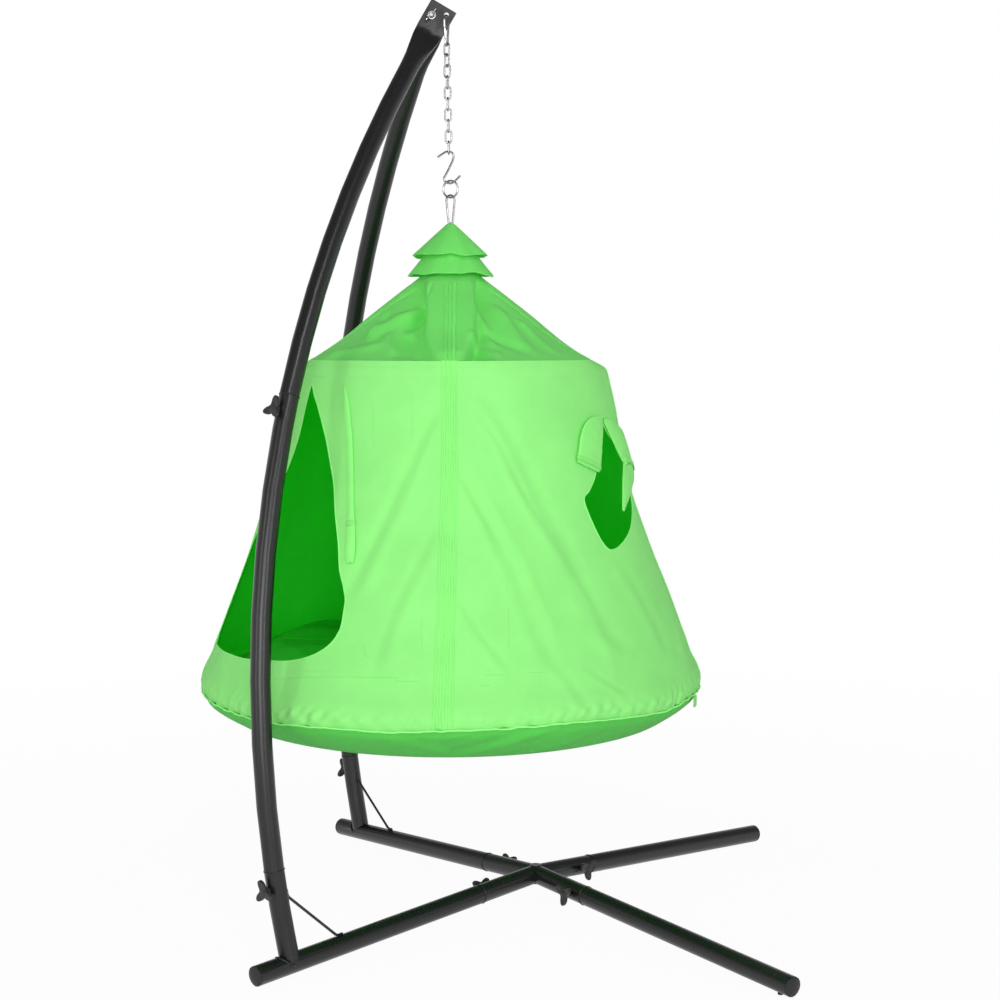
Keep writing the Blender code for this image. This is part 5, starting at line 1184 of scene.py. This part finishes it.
# %% [markdown]
# ## Lines of stitches
# Darts, pocket edges and bar tacks show on the outside of the wall as short lines of thread. Drawn as a
# texture they would blur close up. Each is a thin flattened tube pressed into the cloth along its line
# of angles and heights.
# %% Stitches
STITCHES = [
    [(-22.1, 0.706), (-21.6, 0.690), (-20.7, 0.667), (-20.0, 0.630), (-19.5, 0.601)],
    [(-7.7, 0.704), (-7.3, 0.660), (-6.9, 0.615)], [(-17.5, 0.598), (-15.2, 0.598)],
    [(-51.2, 0.740), (-43.6, 0.738)], [(-1.8, 0.278), (-1.4, 0.222)],
    [(-15.2, 0.228), (-14.7, 0.212), (-13.8, 0.207)], [(-29.5, 0.172), (-22.8, 0.177)],
    [(-39.0, 0.150), (-30.0, 0.160), (-21.2, 0.166), (-12.0, 0.170), (-6.4, 0.171)],
    [(-7.0, 0.165), (-1.9, 0.166)], [(19.1, 0.300), (18.3, 0.220)], [(19.3, 0.344), (19.2, 0.325)],
    [(12.8, 0.176), (16.5, 0.175)], [(21.9, 0.177), (26.6, 0.175)], [(53.9, 0.172), (60.5, 0.164)],
    [(11.2, 0.156), (13.4, 0.156)],
]
THREAD_R, THREAD_LIFT = 0.00055, 0.0003
LEVEL_SPAN, LEVEL_STEP, STEEP_STEP = 1.5, 0.35, 0.006
for k, stitched in enumerate(STITCHES):
    points = smooth_curve(stitched, 60) if len(stitched) > 2 else np.array(stitched, float)
    # A level line is spaced in degrees, a steep one in metres.
    level = abs(stitched[0][0] - stitched[-1][0]) > LEVEL_SPAN
    theta, h = even(points, LEVEL_STEP if level else STEEP_STEP).T
    line, out = outward(lambda lift: on_wall(theta, h, lift), THREAD_LIFT)
    stitch = tube(f"stitch_{k:02d}", line, THREAD_R, thread, sides=6, up=out, flat=0.6)
    dress(stitch, "tent")
print("stitched lines:", len(STITCHES))

# %% [markdown]
# ## Rolled flaps
# The door's flap is rolled up into a slim roll beside the opening, and the window has two short rolled
# flaps. A rolled cloth could be modelled as a spiral, but only its outside shows: a flattened roll with
# its free edge as a crease and soft dents along it. It starts and ends slim.
# %% Rolls
# Angle, height, half width and half depth of each roll along its length.
DOOR_ROLL = [(-33.6, 0.722, 0.002, 0.0005), (-32.6, 0.706, 0.005, 0.0008),
             (-31.2, 0.680, 0.007, 0.0011), (-29.2, 0.630, 0.007, 0.0013),
             (-27.2, 0.560, 0.007, 0.0014), (-25.0, 0.480, 0.007, 0.0016),
             (-23.5, 0.430, 0.010, 0.0024), (-22.9, 0.400, 0.011, 0.0030),
             (-22.5, 0.378, 0.007, 0.002)]
LEFT_ROLL = [(65.2, 0.652, 0.006, 0.002), (62.6, 0.641, 0.020, 0.004), (59.2, 0.626, 0.033, 0.0045),
             (56.4, 0.607, 0.038, 0.0050), (54.8, 0.585, 0.037, 0.0048), (53.6, 0.566, 0.036, 0.0044),
             (53.0, 0.556, 0.035, 0.0025)]
RIGHT_ROLL = [(67.6, 0.648, 0.006, 0.002), (72.0, 0.630, 0.020, 0.004), (78.0, 0.602, 0.036, 0.006),
              (82.5, 0.575, 0.044, 0.0075), (83.5, 0.553, 0.042, 0.0085), (80.0, 0.530, 0.032, 0.0060),
              (75.0, 0.505, 0.022, 0.0040), (70.8, 0.482, 0.012, 0.003), (67.6, 0.462, 0.004, 0.002)]
ROLL_STATIONS, ROLL_SIDES = 60, 28
ROLL_LIFT = 0.0018


def flap_roll(name, stations, node, seed):
    """A flap rolled up on the wall: a flattened roll with a crease and soft dents along it."""
    theta, h, half, deep = smooth_curve(stations, ROLL_STATIONS).T
    centre, out = outward(lambda lift: on_wall(theta, h, deep + lift), ROLL_LIFT)
    first, second = line_frames(centre, unit(out))
    a = full_turn(ROLL_SIDES)
    rows = np.linspace(0, 1, ROLL_STATIONS)
    phase = np.random.RandomState(seed).rand(2) * 6.28
    dent = 1 + 0.10 * np.sin(14 * rows + phase[0]) + 0.07 * np.sin(31 * rows + phase[1])
    fold = 1 - 0.16 * hill(a - 2.2, 0.16) - 0.10 * hill(a - 0.9, 0.2)
    grid = (centre[:, None] + ((deep * dent)[:, None] * np.sin(a) * fold)[..., None] * first[:, None]
            + (half[:, None] * np.cos(a) * fold)[..., None] * second[:, None])
    flat = np.stack([np.repeat(rows * 0.3, ROLL_SIDES), np.tile(a * 0.02, ROLL_STATIONS)], -1)
    roll = add_grid(name, grid, cloth, closed=True, caps=True, flip=True, uv=flat)
    dress(roll, "tent", node)
    print(name, "is", round(float(lengths(centre)[-1]) * 1000), "mm long")


flap_roll("door_flap_roll", DOOR_ROLL, "door_roll", seed=1)
flap_roll("window_flap_left", LEFT_ROLL, "window_roll_left", seed=2)
flap_roll("window_flap_right", RIGHT_ROLL, "window_roll_right", seed=3)

# %% [markdown]
# ## Ties round the rolls
# A narrow loop of webbing holds each roll. It could be a torus, but a tie is flat and hugs an oval. So
# an oval ring is laid round the roll where the tie sits, a little wider than the roll, and four such
# rings make its flat section.
# %% Ties
TIE_GAP, TIE_HALF, TIE_THICKNESS = 0.0012, 0.0050, 0.0009


def roll_tie(name, stations, position, node):
    """A narrow webbing loop round a rolled flap, at a share of its length."""
    line = smooth_curve(stations, ROLL_STATIONS)
    k = int(position * (ROLL_STATIONS - 1))
    (theta, h, half, deep), before, after = line[k], line[k - 2], line[k + 2]
    centre, out = outward(lambda lift: on_wall(theta, h, deep + lift), ROLL_LIFT)
    along = unit(on_wall(after[0], after[1], deep) - on_wall(before[0], before[1], deep))
    out = unit(out - (out @ along) * along)
    a = full_turn(32)
    ring = (centre + np.outer((half + TIE_GAP) * np.cos(a), np.cross(along, out))
            + np.outer((deep + TIE_GAP) * np.sin(a), out))
    away = unit(ring - centre)
    section = ((-TIE_HALF, 0), (-TIE_HALF, TIE_THICKNESS), (TIE_HALF, TIE_THICKNESS), (TIE_HALF, 0))
    grid = np.array([ring + w * along + lift * away for w, lift in section])
    tie = add_grid(name, grid, webbing, closed=True, loop=True, smooth=False)
    dress(tie, "tent", node)
    print(name, "goes round", round(2000 * half), "by", round(2000 * deep), "mm")


roll_tie("door_flap_tie", DOOR_ROLL, 0.78, "door_tie")
roll_tie("window_flap_tie_left", LEFT_ROLL, 0.93, "window_tie_left")
roll_tie("window_flap_tie_right", RIGHT_ROLL, 0.52, "window_tie_right")

# %% [markdown]
# ## Strap and tab
# The tent hangs from a loop of webbing at its top, and a small tab of the same webbing sticks out at
# the base seam. The CAD solids already have their shape, with hard corners. A copy of each with a small
# bevel and woven material is all that webbing needs.
# %% Straps
WEBBING_EDGE = 0.0004
for node_name, name in (("top_strap", "top_webbing"), ("strap_tab", "base_tab")):
    strap = bpy.data.objects.new(name, nodes[node_name].data.copy())
    scene.collection.objects.link(strap)
    strap.data.materials.clear()
    strap.data.materials.append(webbing)
    bevel = strap.modifiers.new("round", "BEVEL")
    bevel.width = WEBBING_EDGE
    bevel.segments = 2
    bevel.limit_method = "ANGLE"
    dress(strap, "tent", node_name)
    print(name, len(strap.data.polygons), "faces before the bevel")

# %% [markdown]
# ## Floor cushion: blown up
# A round padded cushion fills the floor. Sculpting padding by hand takes long, and a plain rounded disc
# looks like wood. Here a flat pad is turned from a profile, remeshed evenly and filled with air
# pressure by Blender's cloth simulation for a few frames. Each point's way is capped, so that the pad
# stays inside the tent. The result is kept as a plain mesh, and no simulation is left in the file.
# %% Cushion pad
CUSHION = [(0.0200, 0.0040), (0.2000, 0.0040), (0.4200, 0.0060), (0.4560, 0.0200), (0.4740, 0.0560),
           (0.4760, 0.0900), (0.4600, 0.1280), (0.4150, 0.1420), (0.2600, 0.1400), (0.1200, 0.1380),
           (0.0200, 0.1370)]
PAD_LIFT, VOXEL, MOVE_CAP = 0.0035, 0.006, 0.022
PRESSURE, PAD_FRAMES = 4.0, 20


def remeshed(o):
    """Gives a closed pad an even mesh, and returns its points."""
    remesh = o.modifiers.new("remesh", "REMESH")
    remesh.mode = "VOXEL"
    remesh.voxel_size = VOXEL
    graph = bpy.context.evaluated_depsgraph_get()
    start = bpy.data.meshes.new_from_object(o.evaluated_get(graph))
    o.modifiers.remove(remesh)
    o.data = start
    return np.array([tuple(v.co) for v in start.vertices])


def inflated(o, rest):
    """Where the points of a pad go when its cloth is under pressure, none further than the cap."""
    cushion_sim = o.modifiers.new("cloth", "CLOTH")
    settings = cushion_sim.settings
    settings.quality = 2
    settings.mass = 0.3
    settings.use_pressure = True
    settings.uniform_pressure_force = PRESSURE
    settings.effector_weights.gravity = 0.0
    settings.tension_stiffness = settings.compression_stiffness = settings.shear_stiffness = 15.0
    settings.bending_stiffness = 0.5
    cushion_sim.point_cache.frame_start, cushion_sim.point_cache.frame_end = 1, PAD_FRAMES
    for number in range(1, PAD_FRAMES + 1):
        scene.frame_set(number)
    graph = bpy.context.evaluated_depsgraph_get()
    shape = o.evaluated_get(graph).to_mesh()
    moved = np.array([tuple(v.co) for v in shape.vertices])
    o.evaluated_get(graph).to_mesh_clear()
    o.modifiers.remove(cushion_sim)
    scene.frame_set(1)
    step = moved - rest
    size = np.linalg.norm(step, axis=1)
    print("cushion moved by up to", round(float(size.max()), 4))
    return rest + step * np.minimum(1, MOVE_CAP / np.maximum(size, 1e-9))[:, None]


line = even(smooth_curve(CUSHION, 200), 0.012)
theta = np.arange(0, 360, 3.0)
grid = around(theta[None], line[:, 0][:, None] + 0 * theta, line[:, 1][:, None] + PAD_LIFT)
# Its deep green is painted shade for the inside of the tent.
cushion = add_grid("floor_cushion", grid, cushion_cloth, closed=True, caps=True)
points = remeshed(cushion)
points = inflated(cushion, points)
print("cushion pad", len(points), "points")

# %% [markdown]
# ## Floor cushion: quilted
# Seams from the middle to the rim divide the padding into channels, with a dimple in the centre. Only a
# part of the cushion shows through the door, so their number, eight, is a guess. The simulation doesn't
# know them. So each point sinks by how near it is to one of the seam lines, and slow waves make the
# padding uneven. At last the rim is held clear of the wall and the underside clear of the floor.
# %% Cushion channels
CHANNELS = 8
CHANNEL_DEPTH, CHANNEL_WIDTH = 0.012, 0.014
DIMPLE_DEPTH, DIMPLE_WIDTH = 0.020, 0.05
RIM_LIMIT, FLOOR_CLEAR, PAD_WAVE = 0.487, 0.0045, 0.004
x, y, h = points[:, 0] - AXIS_X, points[:, 1], points[:, 2] - FLOOR
r, angle = np.hypot(x, y), np.degrees(np.arctan2(x, -y))
off = ((angle + 180.0 / CHANNELS) % (360.0 / CHANNELS) - 180.0 / CHANNELS) * np.pi / 180 * r
upper_side = np.clip((h - 0.09) / 0.03, 0, 1)
top = upper_side * np.clip(r / 0.06, 0, 1)
low = CHANNEL_DEPTH * top * hill(off, CHANNEL_WIDTH) + DIMPLE_DEPTH * upper_side * hill(r, DIMPLE_WIDTH)
a = np.radians(angle)
wave = PAD_WAVE * top * (np.sin(7 * a + 9 * r) + 0.7 * np.sin(16 * a - 21 * r))
points[:, 2] += wave - low
limit = RIM_LIMIT - 0.020 * np.clip((0.05 - h) / 0.05, 0, 1)
share = np.minimum(1, limit / np.maximum(r, 1e-6))
points[:, 0], points[:, 1] = AXIS_X + x * share, y * share
points[:, 2] = np.maximum(points[:, 2], FLOOR + FLOOR_CLEAR)
cushion.data.vertices.foreach_set("co", points.ravel())
cushion.data.materials.clear()
cushion.data.materials.append(cushion_cloth)
cushion.data.shade_smooth()
cushion.data.update()
dress(cushion, "tent", "cushion")
print("cushion", round(float(r.max()) * 2, 3), "m wide before it is held clear of the wall")

# %% [markdown]
# ## Studio floor
# The photograph has a nearly white ground with only a breath of shadow. A brighter lamp would bleach
# the tent before it whitened the floor. Instead the floor glows white for rays that come from the
# camera, a mirror or glass, a little less near the stand so that its shadow shows, and is plain pale
# grey for the light that falls on it.
# %% Studio floor
floor_material, tree, shader, node = new_material("studio_floor")
shader.inputs["Base Color"].default_value = (0.80, 0.80, 0.80, 1.0)
shader.inputs["Roughness"].default_value = 0.9
shader.inputs["Specular IOR Level"].default_value = 0.0
path = node("ShaderNodeLightPath")
seen = node("ShaderNodeMath", {0: path.outputs["Is Camera Ray"], 1: path.outputs["Is Glossy Ray"]},
            operation="MAXIMUM")
seen = node("ShaderNodeMath", {0: seen.outputs["Value"], 1: path.outputs["Is Transmission Ray"]},
            operation="MAXIMUM")
white = node("ShaderNodeEmission", {"Color": (1.0, 1.0, 1.0, 1.0), "Strength": 1.0})
place = node("ShaderNodeTexCoord")
away = node("ShaderNodeVectorMath", {0: place.outputs["Object"]}, operation="LENGTH")
fade = node("ShaderNodeMapRange", {"Value": away.outputs["Value"], "From Min": 0.9, "From Max": 3.5,
                                   "To Min": 0.955, "To Max": 1.0})
share = node("ShaderNodeMath", {0: seen.outputs["Value"], 1: fade.outputs["Result"]},
             operation="MULTIPLY")
mix = node("ShaderNodeMixShader", {"Fac": share.outputs["Value"], 1: shader.outputs["BSDF"],
                                   2: white.outputs["Emission"]})
tree.links.new(mix.outputs["Shader"], tree.nodes["Material Output"].inputs["Surface"])
HALF = 60.0
floor = add_mesh("studio_floor", [(-HALF, -HALF, 0), (HALF, -HALF, 0), (HALF, HALF, 0), (-HALF, HALF, 0)],
                 [(0, 1, 2, 3)], floor_material, smooth=False)
print("studio floor", 2 * HALF, "m wide")

# %% [markdown]
# ## Surroundings
# Around the stage the world is white to the camera. As a light it is brighter near the ground than
# overhead, like a white room, and black tubes mirror a bright low band that darkens upwards, which
# gives them their long soft highlights. A picture of a room would do this too, but two ranges over the
# height are enough and hold no image.
# %% Surroundings
world = bpy.data.worlds.new("studio")
world.use_nodes = True
tree = world.node_tree
node = node_maker(tree)
background = tree.nodes["Background"]
background.inputs["Color"].default_value = (1.0, 1.0, 1.0, 1.0)
place = node("ShaderNodeTexCoord")
height = node("ShaderNodeSeparateXYZ", {"Vector": place.outputs["Generated"]}).outputs["Z"]
level = node("ShaderNodeMapRange", {"Value": height, "From Min": 0.0, "From Max": 0.8,
                                    "To Min": 0.95, "To Max": 0.35})
mirrored = node("ShaderNodeMapRange", {"Value": height, "From Min": 0.1, "From Max": 0.5,
                                       "To Min": 1.0, "To Max": 0.2})
path = node("ShaderNodeLightPath")
seen = node("ShaderNodeMath", {0: path.outputs["Is Camera Ray"], 1: path.outputs["Is Transmission Ray"]},
            operation="MAXIMUM")
strength = node("ShaderNodeMix", {"Factor": path.outputs["Is Glossy Ray"], "A": level.outputs["Result"],
                                  "B": mirrored.outputs["Result"]})
strength = node("ShaderNodeMix", {"Factor": seen.outputs["Value"], "A": strength.outputs["Result"],
                                  "B": 1.0})
tree.links.new(strength.outputs["Result"], background.inputs["Strength"])
scene.world = world
print("the world has", len(tree.nodes), "nodes")

# %% [markdown]
# ## Lamps
# Four large soft lamps light the tent from the front, the left, above and the right. Small lamps would
# throw hard shadows that the photograph doesn't have. The front one carries the cloth's colour, and the
# tall thin one at the left draws the highlight down the arms. Standard is chosen as the view, so a
# colour renders as it is written.
# %% Lamps
# Place, the point it looks at, width and height, and power in watts.
LAMPS = {"front_light": ((0.0, -5.8, 1.35), (-0.05, 0, 0.95), (2.2, 2.4), 104.0),
         "left_light": ((-3.6, -4.2, 1.9), (-0.2, 0, 1.2), (0.28, 3.4), 40.0),
         "top_light": ((0.9, -4.6, 4.1), (-0.1, 0, 1.2), (1.0, 1.8), 56.0),
         "right_light": ((3.3, -4.4, 1.5), (0.1, 0, 0.95), (0.8, 2.6), 50.0)}
for name, (place, target, size, power) in LAMPS.items():
    data = bpy.data.lights.new(name, "AREA")
    data.shape = "RECTANGLE"
    data.size, data.size_y = size
    data.energy = power
    lamp = bpy.data.objects.new(name, data)
    lamp.location = place
    lamp.rotation_euler = (Vector(target) - Vector(place)).to_track_quat("-Z", "Y").to_euler()
    scene.collection.objects.link(lamp)
scene.view_settings.view_transform = "Standard"
print("lamps:", len(LAMPS), "with", sum(lamp[3] for lamp in LAMPS.values()), "W in all")
